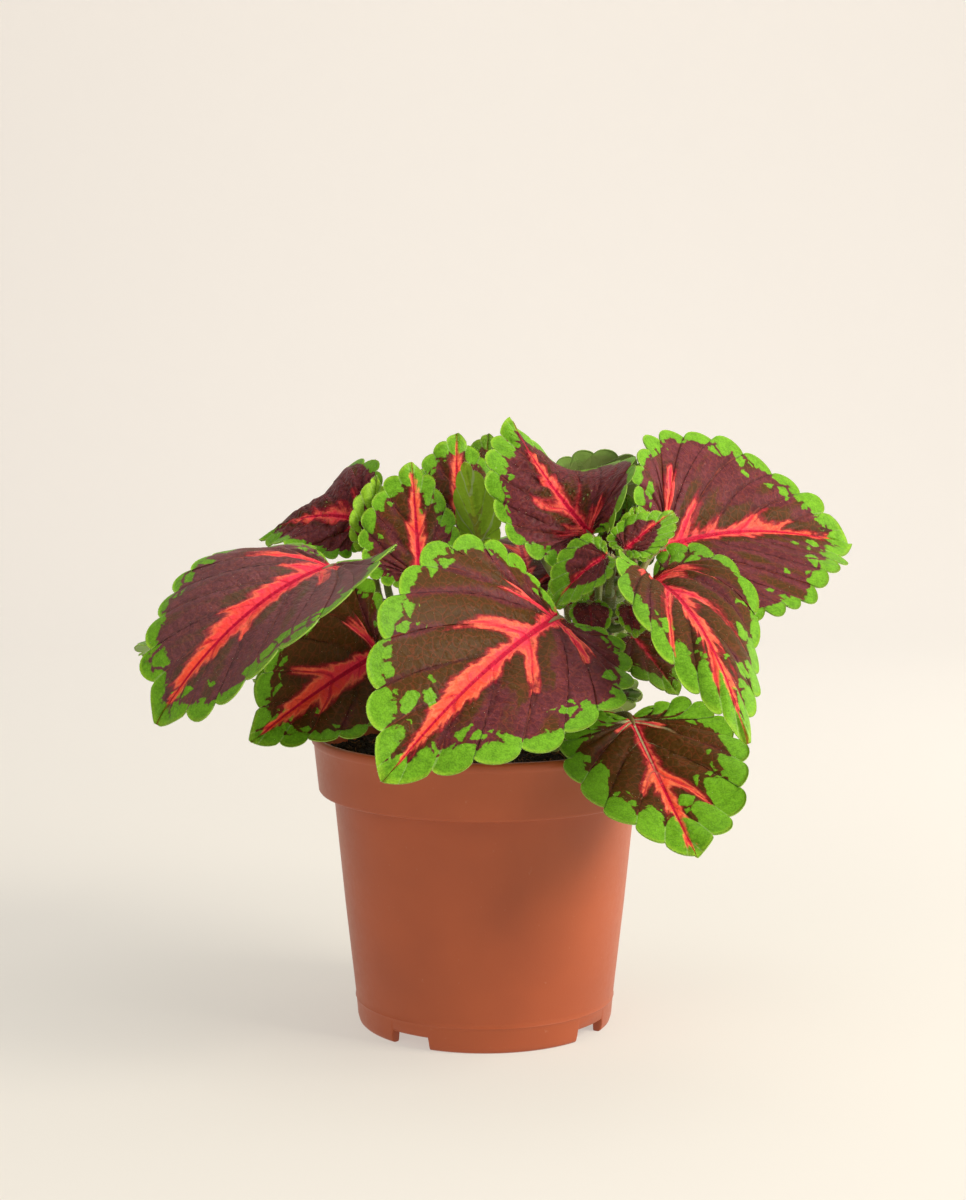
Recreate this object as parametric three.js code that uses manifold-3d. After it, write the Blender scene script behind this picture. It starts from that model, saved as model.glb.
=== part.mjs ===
// Potted coleus in a round nursery pot: millimetres, +Z up, origin on the ground under the pot's axis.
// The photograph's camera looks along +Y, so the plant's front is at -Y.

import * as THREE from "three";
import { mergeVertices } from "three/addons/utils/BufferGeometryUtils.js";
import Module from "manifold-3d";

const wasm = await Module();
wasm.setup();

const DEGREE = Math.PI / 180;
const GAP = 0.3;

// Pot: a moulded 12 cm nursery pot with a collar and a raised floor on a notched skirt
const RIM_RADIUS = 60;
const POT_HEIGHT = 102;
const COLLAR_HEIGHT = 20;
const COLLAR_RADIUS = 57.6;
const SHOULDER_RADIUS = 52.4;
const FOOT_RADIUS = 44.2;
const WALL = 1.5;
const SKIRT_HEIGHT = 5;
const SKIRT_WIDTH = 2.4;
const FLOOR = 1.5;
const NOTCH_COUNT = 4;
const NOTCH_WIDTH = 15;
const NOTCH_HEIGHT = 4.2;
const NOTCH_START = -35;
const DRAIN_RADIUS = 4;
const DRAIN_CIRCLE = 27;
const DRAIN_COUNT = 6;
const DRAIN_SIDES = 10;
const RIM_WIDTH = 2.4;
const RIM_HEIGHT = 3.4;
const EDGE = 0.8;
const BULGE = 0.6;
const POT_SIDES = 40;

// Soil: fills the pot to a little below the rim
const SOIL_LEVEL = 93;
const SOIL_CROWN = 2.5;
const SOIL_ROUGHNESS = 0.9;
const SOIL_RINGS = [54, 44, 32, 19, 8];
const SOIL_SIDES = 20;
const SOIL_SEED = 7;

// Stems: square, as on all of the mint family, standing in plain holes in the soil
const STEM_ROOT_DEPTH = 30;
const STEM_FOOT = 3;
const STEM_TOP = 1.9;
const STEM_CORNER = 0.55;
const STEM_STEPS = 8;
const STEMS = {
  main: { foot: [22, -4], top: [43, -20, 158], bow: 6, turn: 35 },
  left: { foot: [-18, -4], top: [-29, -1, 149], bow: -4, turn: 25 },
  back: { foot: [0, 20], top: [-2, 25, 167], bow: 4, turn: 10 },
};

// Blade: shares of its length, from the joint with the stalk (0) to the tip (1)
const OUTLINE = [
  [0, 0], [-0.055, 0.13], [-0.01, 0.31], [0.16, 0.43], [0.39, 0.45], [0.61, 0.37], [0.8, 0.235], [0.93, 0.1],
  [1, 0],
];
const HALF_WIDTH = 0.45;
const THICKNESS = 0.8;
const KEEL = 0.9;
const SCALLOP = 0.05;
const SCALLOP_UNEVEN = 0.22;
const SCALLOP_CYCLE = 2.4;
const SCALLOP_ROUND = 0.62;
const SCALLOP_LEAN = 0.85;
const SCALLOP_SINK = 0.6;
const SCALLOP_GROWN = 0.3;
const FIRST_NOTCH = 0.13;
const LAST_NOTCH = 0.84;
const NOTCH_SPREAD = 1.2;
const TIP_LEAN = 0.6;
const TIP_BULGE = 0.45;
const FAN = 0.22;
const FAN_REACH = 0.05;
const VEIN_CURVE = 0.25;
const LOBE_START = 0.25;
const LOBE_END = 0.5;
const LOBE_REACH = 0.75;
const LOBE_ANGLE = 60 * DEGREE;
const WAVES = 3.5;
const SCALLOP_STEPS = [0, 0.32, 0.72];
const TIP_STEPS = [0, 0.2, 0.6];
const MIDDLE_REACH = 0.55;
const RIB_POINTS = 0.7;

// Leaf stalks
const STALK_FOOT = 1.5;
const STALK_TOP = 1.1;
const STALK_SIDES = 6;
const STALK_STEPS = 7;
const STALK_SEAT = 0.45;
const STALK_ARCH = 0.35;
const STALK_LEVEL = 0.3;
const STALK_UNDER = 0.06;

// Leaves. joint: where the stalk meets the blade. heading: compass direction of the blade from +X towards +Y.
// pitch: up from level. roll: turn about the midrib, left half up. droop and sway: bend over the whole
// length, down and towards the left half. width, fold, lobe and arch are pairs, left half first: width
// against OUTLINE, lift at the midrib, more lift near the stalk, and bend down towards the margin.
// wave: height of the margin's waves. node: the height on the stem that the stalk grows from.
const LEAVES = [
  { name: "leaf_front_broad", stem: "main", node: 124, joint: [24, -38, 147], heading: -120, pitch: -8,
    roll: -30, length: 97, width: [0.88, 0.93], droop: 42, sway: 2, lobe: [0, 0], fold: [10, 20], arch: [12, 0],
    teeth: 10, wave: 1 },
  { name: "leaf_left_long", stem: "left", node: 142, joint: [-51, -19, 162], heading: -128, pitch: -5,
    roll: -32, length: 87, width: [1.03, 0.96], droop: 72, sway: 5, lobe: [20, -10], fold: [20, 4], arch: [-22, 43],
    teeth: 11, wave: 1 },
  { name: "leaf_left_low", stem: "left", node: 118, joint: [-35.6, -9, 130.8], heading: -134, pitch: -16,
    roll: -60, length: 62, width: [0.81, 1.2], droop: 8, sway: 10, lobe: [0, 8], fold: [14, 34], arch: [-27, 1],
    teeth: 9, wave: 0.8 },
  { name: "leaf_left_crumpled", stem: "left", node: 146, joint: [-42, 15, 173.5], heading: 176, pitch: 17,
    roll: -25, length: 43, width: [0.9, 1.35], droop: 66, sway: -6, lobe: [-39, 85], fold: [3, -9], arch: [13, 34],
    teeth: 9, wave: 1.2 },
  { name: "leaf_left_curled", stem: "left", node: 143, joint: [-38, 1.9, 164.3], heading: 85, pitch: 74,
    roll: 10, length: 27, width: [0.8, 0.45], droop: 10, sway: 0, lobe: [0, 0], fold: [30, 20], arch: [10, -10],
    teeth: 7, wave: 0.8 },
  { name: "leaf_upright_left", stem: "left", node: 147, joint: [-22, -12, 156.4], heading: 98, pitch: 60,
    roll: 0, length: 45, width: [0.95, 0.7], droop: 5, sway: 0, lobe: [0, 0], fold: [0, 0], arch: [8, 8],
    teeth: 9, wave: 0.6 },
  { name: "leaf_upright_back", stem: "back", node: 161, joint: [-9, 23, 172], heading: 100, pitch: 65,
    roll: 3, length: 35, width: [0.96, 0.96], droop: 8, sway: -7, lobe: [0, 0], fold: [7, 4], arch: [15, 16],
    teeth: 8, wave: 0.6 },
  { name: "leaf_pale_folded", stem: "back", node: 162, joint: [-1.5, 12, 166], heading: -120, pitch: 70,
    roll: 0, length: 31, width: [0.6, 0.6], droop: 0, sway: 0, lobe: [0, 0], fold: [30, 10], arch: [10, 10],
    teeth: 6, wave: 0.4 },
  { name: "leaf_top_dark", stem: "back", node: 164, joint: [0, 43, 180], heading: 85, pitch: 60,
    roll: 0, length: 26, width: [0.9, 0.9], droop: 10, sway: 0, lobe: [0, 0], fold: [10, 10], arch: [10, 10],
    teeth: 7, wave: 0.5 },
  { name: "leaf_top_centre", stem: "main", node: 144, joint: [36.5, -7, 171], heading: 171, pitch: 47,
    roll: -38, length: 50, width: [1.07, 1.22], droop: 21, sway: -41, lobe: [-12, 135], fold: [3, -41], arch: [18, 1],
    teeth: 10, wave: 1 },
  { name: "leaf_top_pale", stem: "main", node: 138, joint: [22, 33, 179], heading: 20, pitch: 5,
    roll: 0, length: 48, width: [1, 1], droop: 20, sway: 0, lobe: [0, 0], fold: [10, 50], arch: [10, -10],
    teeth: 9, wave: 1 },
  { name: "leaf_right_back", stem: "main", node: 132, joint: [60, 5.5, 164.5], heading: 39, pitch: 13,
    roll: 40, length: 85, width: [1.05, 1.1], droop: 16, sway: -30, lobe: [25, -10], fold: [25, 16], arch: [30, 9],
    teeth: 12, wave: 1 },
  { name: "leaf_right_front", stem: "main", node: 141, joint: [55, -27, 157.5], heading: -74, pitch: 4.5,
    roll: 5, length: 93, width: [0.64, 0.46], droop: 65, sway: 0, lobe: [82, 62], fold: [-36, -6], arch: [47, 46],
    teeth: 10, wave: 0.8 },
  { name: "leaf_right_low", stem: "main", node: 108, joint: [49, -30, 112], heading: -68, pitch: -38,
    roll: 8, length: 68, width: [0.99, 0.99], droop: -16, sway: -6, lobe: [0, 0], fold: [8, 7], arch: [0, -6],
    teeth: 9, wave: 0.8 },
  { name: "leaf_right_shaded", stem: "main", node: 124, joint: [50, -17, 138], heading: -50, pitch: -35,
    roll: 15, length: 28, width: [0.95, 0.95], droop: 10, sway: 0, lobe: [0, 0], fold: [10, 10], arch: [10, 10],
    teeth: 7, wave: 0.6 },
  { name: "leaf_inner_right", stem: "main", node: 136, joint: [35, -26, 150], heading: -85, pitch: -45,
    roll: 0, length: 16, width: [0.95, 0.95], droop: 15, sway: 0, lobe: [0, 0], fold: [10, 10], arch: [10, 10],
    teeth: 6, wave: 0.3 },
  { name: "leaf_inner_left", stem: "left", node: 124, joint: [-13, -23, 143], heading: 185, pitch: 5,
    roll: -30, length: 20, width: [0.95, 0.95], droop: 10, sway: 0, lobe: [0, 0], fold: [10, 10], arch: [10, 10],
    teeth: 7, wave: 0.3 },
  { name: "tip_leaf_right", stem: "main", node: 153, joint: [47, -18, 166.5], heading: 33, pitch: 38,
    roll: 24, length: 26, width: [0.86, 0.9], droop: 24, sway: 3, lobe: [0, 0], fold: [8, 12], arch: [11, 12],
    teeth: 9, wave: 0.4 },
  { name: "tip_leaf_left", stem: "main", node: 153, joint: [41, -25, 166], heading: -177, pitch: -28,
    roll: -28, length: 26, width: [1, 1], droop: 38, sway: 4, lobe: [0, 0], fold: [10, 23], arch: [18, -5],
    teeth: 8, wave: 0.4 },
  { name: "tip_leaf_front", stem: "main", node: 157, joint: [47.3, -29.2, 161.6], heading: -98, pitch: 5,
    roll: -10, length: 6, width: [0.95, 0.95], droop: 20, sway: 0, lobe: [0, 0], fold: [10, 10], arch: [5, 5],
    teeth: 5, wave: 0.2 },
  { name: "leaf_back_far_left", stem: "left", node: 126, joint: [-55.3, 28.2, 140], heading: 147, pitch: -4,
    roll: -5, length: 92.5, width: [0.95, 0.95], droop: 22, sway: 0, lobe: [0, 0], fold: [10, 10], arch: [20, 20],
    teeth: 9, wave: 1.2 },
  { name: "leaf_back_left", stem: "back", node: 140, joint: [-24, 48, 140], heading: 112, pitch: -2,
    roll: 0, length: 66, width: [0.95, 0.95], droop: 35, sway: 0, lobe: [0, 0], fold: [10, 10], arch: [20, 20],
    teeth: 9, wave: 1.2 },
  { name: "leaf_back_centre", stem: "back", node: 138, joint: [16, 38, 146], heading: 95, pitch: 35,
    roll: 0, length: 60, width: [0.95, 0.95], droop: 45, sway: 0, lobe: [0, 0], fold: [10, 10], arch: [20, 20],
    teeth: 9, wave: 1.2 },
  { name: "leaf_back_right", stem: "main", node: 122, joint: [56, 26, 140], heading: 72, pitch: -8,
    roll: 0, length: 76, width: [0.95, 0.95], droop: 35, sway: 0, lobe: [0, 0], fold: [10, 10], arch: [20, 20],
    teeth: 9, wave: 1.2 },
  { name: "leaf_back_low_right", stem: "main", node: 106, joint: [30, 34, 116], heading: 70, pitch: -15,
    roll: 0, length: 50, width: [0.95, 0.95], droop: 45, sway: 0, lobe: [0, 0], fold: [10, 10], arch: [15, 15],
    teeth: 8, wave: 1 },
  { name: "leaf_back_low_left", stem: "back", node: 112, joint: [-12, 44, 122], heading: 110, pitch: -20,
    roll: 0, length: 64, width: [0.95, 0.95], droop: 25, sway: 0, lobe: [0, 0], fold: [10, 10], arch: [15, 15],
    teeth: 8, wave: 1 },
  { name: "leaf_left_hidden", stem: "left", node: 112, joint: [-44, 12, 124], heading: 184, pitch: 0,
    roll: -15, length: 38, width: [0.95, 0.95], droop: 20, sway: 0, lobe: [0, 0], fold: [10, 10], arch: [10, 10],
    teeth: 8, wave: 0.8 },
];

function vector(values) {
  return new THREE.Vector3(...values);
}

// Seeded random numbers between 0 and 1, the same in each run
function randomDraws(seed) {
  let state = seed;
  return () => {
    state = (state * 1664525 + 1013904223) % 4294967296;
    return state / 4294967296;
  };
}

// The geometry with its positions only, and each point held once
function weldedOf(geometry) {
  const bare = geometry.clone();
  bare.deleteAttribute("normal");
  bare.deleteAttribute("uv");
  return mergeVertices(bare, 1e-4);
}

function solidOf(geometry) {
  const merged = weldedOf(geometry);
  return new wasm.Manifold(new wasm.Mesh({
    numProp: 3,
    vertProperties: new Float32Array(merged.attributes.position.array),
    triVerts: new Uint32Array(merged.index.array),
  }));
}

function geometryOf(solid) {
  const mesh = solid.getMesh();
  const geometry = new THREE.BufferGeometry();
  geometry.setAttribute("position", new THREE.BufferAttribute(mesh.vertProperties, 3));
  geometry.setIndex(new THREE.BufferAttribute(mesh.triVerts, 1));
  return geometry;
}

// A closed surface from a list of points and a list of triangles
function surfaceOf(points, triangles) {
  const geometry = new THREE.BufferGeometry();
  geometry.setAttribute("position", new THREE.Float32BufferAttribute(points.flatMap((p) => p.toArray()), 3));
  geometry.setIndex(triangles.flat());
  return geometry;
}

// A profile of [radius, height] pairs turned about the Z axis
function turned(profile, sides) {
  const points = profile.map(([radius, height]) => new THREE.Vector2(radius, height));
  const geometry = new THREE.LatheGeometry(points, sides);
  geometry.rotateX(Math.PI / 2);
  return geometry;
}

// Closed tube through rings of points, with flat ends
function tubeOf(rings) {
  const sides = rings[0].length;
  const points = rings.flat();
  const triangles = [];
  for (let ring = 0; ring < rings.length - 1; ring += 1) {
    for (let side = 0; side < sides; side += 1) {
      const next = (side + 1) % sides;
      const a = ring * sides + side;
      const b = ring * sides + next;
      const c = a + sides;
      const d = b + sides;
      triangles.push([a, b, d], [a, d, c]);
    }
  }
  const last = (rings.length - 1) * sides;
  for (let side = 1; side < sides - 1; side += 1) {
    triangles.push([0, side + 1, side]);
    triangles.push([last, last + side, last + side + 1]);
  }
  return surfaceOf(points, triangles);
}

// Rings of a section carried along a path, each square to the path and with no twist of its own.
// section(share) gives the ring's [u, v] pairs, u along the side that starts nearest to reference.
function ringsAlong(path, steps, section, reference) {
  const rings = [];
  for (let step = 0; step <= steps; step += 1) {
    const share = step / steps;
    const centre = path.getPoint(share);
    const ahead = path.getTangent(share);
    const v = new THREE.Vector3().crossVectors(ahead, reference).normalize();
    const u = new THREE.Vector3().crossVectors(v, ahead).normalize();
    rings.push(section(share).map(([x, y]) => centre.clone().addScaledVector(u, x).addScaledVector(v, y)));
  }
  return rings;
}

// Pot

function potProfile() {
  const collarFoot = POT_HEIGHT - COLLAR_HEIGHT;
  const inside = SHOULDER_RADIUS - WALL;
  return [
    [0, SKIRT_HEIGHT],
    [FOOT_RADIUS - SKIRT_WIDTH, SKIRT_HEIGHT],
    [FOOT_RADIUS - SKIRT_WIDTH - BULGE, 0],
    [FOOT_RADIUS - BULGE - EDGE / 2, 0],
    [FOOT_RADIUS - BULGE / 3, EDGE],
    [FOOT_RADIUS + BULGE / 2, SKIRT_HEIGHT / 2],
    [SHOULDER_RADIUS, collarFoot - 2 * BULGE],
    [SHOULDER_RADIUS + EDGE, collarFoot],
    [COLLAR_RADIUS - EDGE / 2, collarFoot],
    [COLLAR_RADIUS, collarFoot + EDGE],
    [RIM_RADIUS - EDGE, POT_HEIGHT - RIM_HEIGHT],
    [RIM_RADIUS, POT_HEIGHT - RIM_HEIGHT + EDGE],
    [RIM_RADIUS, POT_HEIGHT - EDGE],
    [RIM_RADIUS - EDGE, POT_HEIGHT],
    [RIM_RADIUS - RIM_WIDTH + EDGE, POT_HEIGHT],
    [RIM_RADIUS - RIM_WIDTH, POT_HEIGHT - EDGE],
    [COLLAR_RADIUS - WALL, collarFoot + WALL + EDGE],
    [inside, collarFoot + WALL],
    [FOOT_RADIUS + BULGE - WALL, SKIRT_HEIGHT + FLOOR + EDGE],
    [FOOT_RADIUS - EDGE - WALL, SKIRT_HEIGHT + FLOOR],
    [0, SKIRT_HEIGHT + FLOOR],
  ];
}

function notch(index) {
  const cut = new THREE.BoxGeometry(FOOT_RADIUS, NOTCH_WIDTH, 2 * NOTCH_HEIGHT);
  cut.translate(FOOT_RADIUS, 0, 0);
  cut.rotateZ((NOTCH_START + (index * 360) / NOTCH_COUNT) * DEGREE);
  return solidOf(cut);
}

function drain(x, y) {
  const cut = new THREE.CylinderGeometry(DRAIN_RADIUS, DRAIN_RADIUS, 4 * FLOOR, DRAIN_SIDES);
  cut.rotateX(Math.PI / 2);
  cut.translate(x, y, SKIRT_HEIGHT + FLOOR / 2);
  return solidOf(cut);
}

function potGeometry() {
  let pot = solidOf(turned(potProfile(), POT_SIDES));
  for (let index = 0; index < NOTCH_COUNT; index += 1) {
    pot = pot.subtract(notch(index));
  }
  pot = pot.subtract(drain(0, 0));
  for (let index = 0; index < DRAIN_COUNT; index += 1) {
    const angle = (index / DRAIN_COUNT) * 2 * Math.PI;
    pot = pot.subtract(drain(DRAIN_CIRCLE * Math.cos(angle), DRAIN_CIRCLE * Math.sin(angle)));
  }
  return geometryOf(pot);
}

// Stems

function stemPath(stem, fromHeight) {
  const foot = vector([...stem.foot, SOIL_LEVEL]);
  const top = vector(stem.top);
  const lean = new THREE.Vector3(top.x - foot.x, top.y - foot.y, 0);
  const middle = foot.clone().lerp(top, 0.5);
  middle.addScaledVector(lean.normalize(), stem.bow);
  const buried = vector([...stem.foot, fromHeight]);
  return new THREE.CatmullRomCurve3([buried, foot, middle, top], false, "catmullrom", 0.5);
}

function stemSection(half) {
  const corner = half - STEM_CORNER;
  return [
    [half, -corner], [half, corner], [corner, half], [-corner, half],
    [-half, corner], [-half, -corner], [-corner, -half], [corner, -half],
  ];
}

function stemGeometry(stem, extra) {
  const path = stemPath(stem, SOIL_LEVEL - STEM_ROOT_DEPTH - extra);
  const facing = new THREE.Vector3(Math.cos(stem.turn * DEGREE), Math.sin(stem.turn * DEGREE), 0);
  const section = (share) => stemSection(THREE.MathUtils.lerp(STEM_FOOT, STEM_TOP, share) + extra);
  return tubeOf(ringsAlong(path, STEM_STEPS, section, facing));
}

// The stem's axis, direction and half width at a height
function stemAt(stem, height) {
  const path = stemPath(stem, SOIL_LEVEL - STEM_ROOT_DEPTH);
  let low = 0;
  let high = 1;
  for (let step = 0; step < 30; step += 1) {
    const middle = (low + high) / 2;
    if (path.getPoint(middle).z < height) low = middle;
    else high = middle;
  }
  return {
    centre: path.getPoint(low),
    onward: path.getTangent(low),
    half: THREE.MathUtils.lerp(STEM_FOOT, STEM_TOP, low),
  };
}

// Soil

function soilGeometry() {
  const draw = randomDraws(SOIL_SEED);
  const collarFoot = POT_HEIGHT - COLLAR_HEIGHT;
  const profile = [
    [0, SKIRT_HEIGHT + FLOOR + GAP],
    [FOOT_RADIUS - 2 * EDGE - WALL - GAP, SKIRT_HEIGHT + FLOOR + GAP],
    [FOOT_RADIUS - WALL, SKIRT_HEIGHT + FLOOR + 2 * EDGE],
    [SHOULDER_RADIUS - WALL - 2 * GAP, collarFoot + WALL],
    [COLLAR_RADIUS - WALL - 2 * GAP, collarFoot + 2 * WALL + EDGE],
    [COLLAR_RADIUS - WALL - GAP, SOIL_LEVEL - 2 * GAP],
    ...SOIL_RINGS.map((radius) => [radius, SOIL_LEVEL + SOIL_CROWN * (1 - (radius / RIM_RADIUS) ** 2)]),
    [0, SOIL_LEVEL + SOIL_CROWN],
  ];
  const geometry = weldedOf(turned(profile, SOIL_SIDES));
  const position = geometry.attributes.position;
  for (let index = 0; index < position.count; index += 1) {
    if (position.getZ(index) > SOIL_LEVEL) {
      position.setZ(index, position.getZ(index) + SOIL_ROUGHNESS * (2 * draw() - 1));
    }
  }
  let soil = solidOf(geometry);
  for (const stem of Object.values(STEMS)) {
    soil = soil.subtract(solidOf(stemGeometry(stem, GAP)));
  }
  return geometryOf(soil);
}

// Leaves

const outline = new THREE.SplineCurve(OUTLINE.map(([along, across]) => new THREE.Vector2(along, across)));

// How far the margin bulges past the outline: between two notches in a scallop, which grow from the stalk
// on, and before the tip in a last long one
function bulgeAt(leaf, share) {
  const grown = Math.min(share / SCALLOP_GROWN, 1);
  if (share <= FIRST_NOTCH) return -SCALLOP * SCALLOP_SINK * grown;
  if (share >= LAST_NOTCH) {
    const onward = (share - LAST_NOTCH) / (1 - LAST_NOTCH);
    const rise = Math.sin(Math.PI * Math.min(onward ** TIP_LEAN, 1)) ** SCALLOP_ROUND;
    return SCALLOP * (TIP_BULGE * rise - SCALLOP_SINK * (1 - onward));
  }
  const way = (share - FIRST_NOTCH) / (LAST_NOTCH - FIRST_NOTCH);
  const scallop = way ** (1 / NOTCH_SPREAD) * (leaf.teeth - 1);
  const within = (scallop % 1) ** SCALLOP_LEAN;
  const size = SCALLOP * (1 + SCALLOP_UNEVEN * Math.sin(SCALLOP_CYCLE * Math.floor(scallop) + leaf.joint[0]));
  return grown * (size * Math.sin(Math.PI * within) ** SCALLOP_ROUND - SCALLOP * SCALLOP_SINK);
}

// The margin at a share of its way from the stalk to the tip
function marginAt(leaf, share) {
  const point = outline.getPoint(share);
  const ahead = outline.getTangent(share);
  const rise = bulgeAt(leaf, share);
  return new THREE.Vector2(point.x - ahead.y * rise, Math.max(point.y + ahead.x * rise, 0));
}

// Where the vein that runs to that place on the margin leaves the midrib
function veinFoot(share) {
  if (share < FAN) return (FAN_REACH * share) / FAN;
  return FAN_REACH + (1 - FAN_REACH) * ((share - FAN) / (1 - FAN));
}

// A vein's way from its foot on the midrib to the margin, in shares of the length: along the midrib and
// across it. It leans forward, and in the lobes beside the stalk it starts that way and then bends back.
function veinAt(leaf, share, reach) {
  const margin = marginAt(leaf, share);
  const foot = veinFoot(share);
  const forward = new THREE.Vector2(foot + ((margin.x - foot) * (1 - VEIN_CURVE)) / 2, margin.y / 2);
  const outward = new THREE.Vector2(Math.cos(LOBE_ANGLE), Math.sin(LOBE_ANGLE));
  outward.multiplyScalar(LOBE_REACH * margin.length());
  const control = outward.lerp(forward, THREE.MathUtils.smoothstep(share, LOBE_START, LOBE_END));
  return new THREE.QuadraticBezierCurve(new THREE.Vector2(foot, 0), control, margin).getPoint(reach);
}

function bladeFrame(leaf) {
  const heading = leaf.heading * DEGREE;
  const pitch = leaf.pitch * DEGREE;
  const roll = leaf.roll * DEGREE;
  const ahead = vector([Math.cos(pitch) * Math.cos(heading), Math.cos(pitch) * Math.sin(heading), Math.sin(pitch)]);
  const level = vector([-Math.sin(heading), Math.cos(heading), 0]);
  const upright = new THREE.Vector3().crossVectors(ahead, level);
  const left = level.clone().multiplyScalar(Math.cos(roll)).addScaledVector(upright, Math.sin(roll));
  const up = upright.clone().multiplyScalar(Math.cos(roll)).addScaledVector(level, -Math.sin(roll));
  return { ahead, left, up };
}

// Length and rise of a unit arc that starts level and bends by a given angle for each unit of its length
function arc(bend, start, reach) {
  const rate = Math.abs(bend) < 1e-6 ? 1e-6 : bend;
  const angle = start + rate * reach;
  return {
    run: (Math.sin(angle) - Math.sin(start)) / rate,
    rise: (Math.cos(start) - Math.cos(angle)) / rate,
    angle,
  };
}

// A point of the blade: side 1 is the left half and -1 the right, share runs along the margin from the
// stalk to the tip, and reach from the midrib (0) to the margin (1)
function bladeAt(leaf, side, share, reach) {
  const { ahead, left, up } = bladeFrame(leaf);
  const place = veinAt(leaf, share, reach);
  const half = side > 0 ? 0 : 1;
  const along = place.x;
  const across = place.y * leaf.width[half];

  const droop = arc(leaf.droop * DEGREE, 0, along);
  const sway = arc(leaf.sway * DEGREE, 0, along);
  const rib = vector(leaf.joint)
    .addScaledVector(ahead, leaf.length * droop.run)
    .addScaledVector(up, -leaf.length * droop.rise)
    .addScaledVector(left, leaf.length * sway.rise);
  const onward = ahead.clone().multiplyScalar(Math.cos(droop.angle)).addScaledVector(up, -Math.sin(droop.angle));
  const normal = up.clone().multiplyScalar(Math.cos(droop.angle)).addScaledVector(ahead, Math.sin(droop.angle));
  const sideways = left.clone().multiplyScalar(Math.cos(sway.angle)).addScaledVector(onward, -Math.sin(sway.angle));

  const lift = leaf.fold[half] + leaf.lobe[half] * (1 - along) ** 2;
  const section = arc((-leaf.arch[half] * DEGREE) / HALF_WIDTH, lift * DEGREE, across);
  const point = rib
    .addScaledVector(sideways, side * leaf.length * section.run)
    .addScaledVector(normal, leaf.length * section.rise);
  const lean = reach === 0 ? 0 : section.angle;
  const outward = normal.clone().multiplyScalar(Math.cos(lean)).addScaledVector(sideways, -side * Math.sin(lean));
  const wave = leaf.wave * reach * reach * Math.sin(2 * Math.PI * (WAVES * share + leaf.joint[0] / 10 + side / 4));
  return { point: point.addScaledVector(outward, wave), outward };
}

// Share of the margin's way at which a notch lies, with numbers between the notches in the scallops
function notchShare(leaf, number) {
  return FIRST_NOTCH + (number / (leaf.teeth - 1)) ** NOTCH_SPREAD * (LAST_NOTCH - FIRST_NOTCH);
}

function notchShares(leaf) {
  return Array.from({ length: leaf.teeth }, (_, number) => notchShare(leaf, number));
}

// Shares at which the faceted margin has a point: the notches and each scallop's shoulders
function marginShares(leaf) {
  const shares = [];
  for (let tooth = 0; tooth < leaf.teeth - 1; tooth += 1) {
    shares.push(...SCALLOP_STEPS.map((step) => notchShare(leaf, tooth + step)));
  }
  return [...shares, ...TIP_STEPS.map((step) => LAST_NOTCH + step * (1 - LAST_NOTCH))];
}

function evenShares(count) {
  return Array.from({ length: count }, (_, index) => (index + 1) / (count + 1));
}

// Triangles of the strip between two rows of vertices that run the same way
function strip(first, second) {
  const triangles = [];
  let a = 0;
  let b = 0;
  while (a < first.length - 1 || b < second.length - 1) {
    const nextA = a < first.length - 1 ? first[a + 1].share : Infinity;
    const nextB = b < second.length - 1 ? second[b + 1].share : Infinity;
    if (nextA <= nextB) {
      triangles.push([first[a].index, second[b].index, first[a + 1].index]);
      a += 1;
    } else {
      triangles.push([first[a].index, second[b].index, second[b + 1].index]);
      b += 1;
    }
  }
  return triangles;
}

// Closed blade: an upper face, an under face split into the same triangles, and the rim between them
function bladeGeometry(leaf) {
  const upper = [];
  const under = [];
  const add = (side, share, reach) => {
    const { point, outward } = bladeAt(leaf, side, share, reach);
    const keel = reach === 0 ? KEEL * (1 - share) : 0;
    upper.push(point);
    under.push(point.clone().addScaledVector(outward, -THICKNESS - keel));
    return { index: upper.length - 1, share };
  };
  const joint = add(1, 0, 0);
  const ribs = evenShares(Math.ceil(leaf.teeth * RIB_POINTS)).map((share) => add(1, share, 0));
  const tip = add(1, 1, 0);
  const rib = [joint, ...ribs, tip];

  const triangles = [];
  const margins = [];
  for (const side of [1, -1]) {
    const middle = notchShares(leaf).map((share) => add(side, share, MIDDLE_REACH));
    const margin = [joint, ...marginShares(leaf).map((share) => add(side, share, 1)), tip];
    const faces = [...strip(middle, rib), ...strip(margin, middle)];
    const half = side > 0 ? faces : faces.map(([a, b, c]) => [a, c, b]);
    triangles.push(...half);
    margins.push(margin);
  }

  const count = upper.length;
  const closed = [...triangles, ...triangles.map(([a, b, c]) => [a + count, c + count, b + count])];
  const loop = [...margins[1].slice(0, -1), ...margins[0].slice(1).reverse()].map((entry) => entry.index);
  loop.forEach((a, place) => {
    const b = loop[(place + 1) % loop.length];
    closed.push([a, a + count, b + count], [a, b + count, b]);
  });
  return surfaceOf([...upper, ...under], closed);
}

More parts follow.
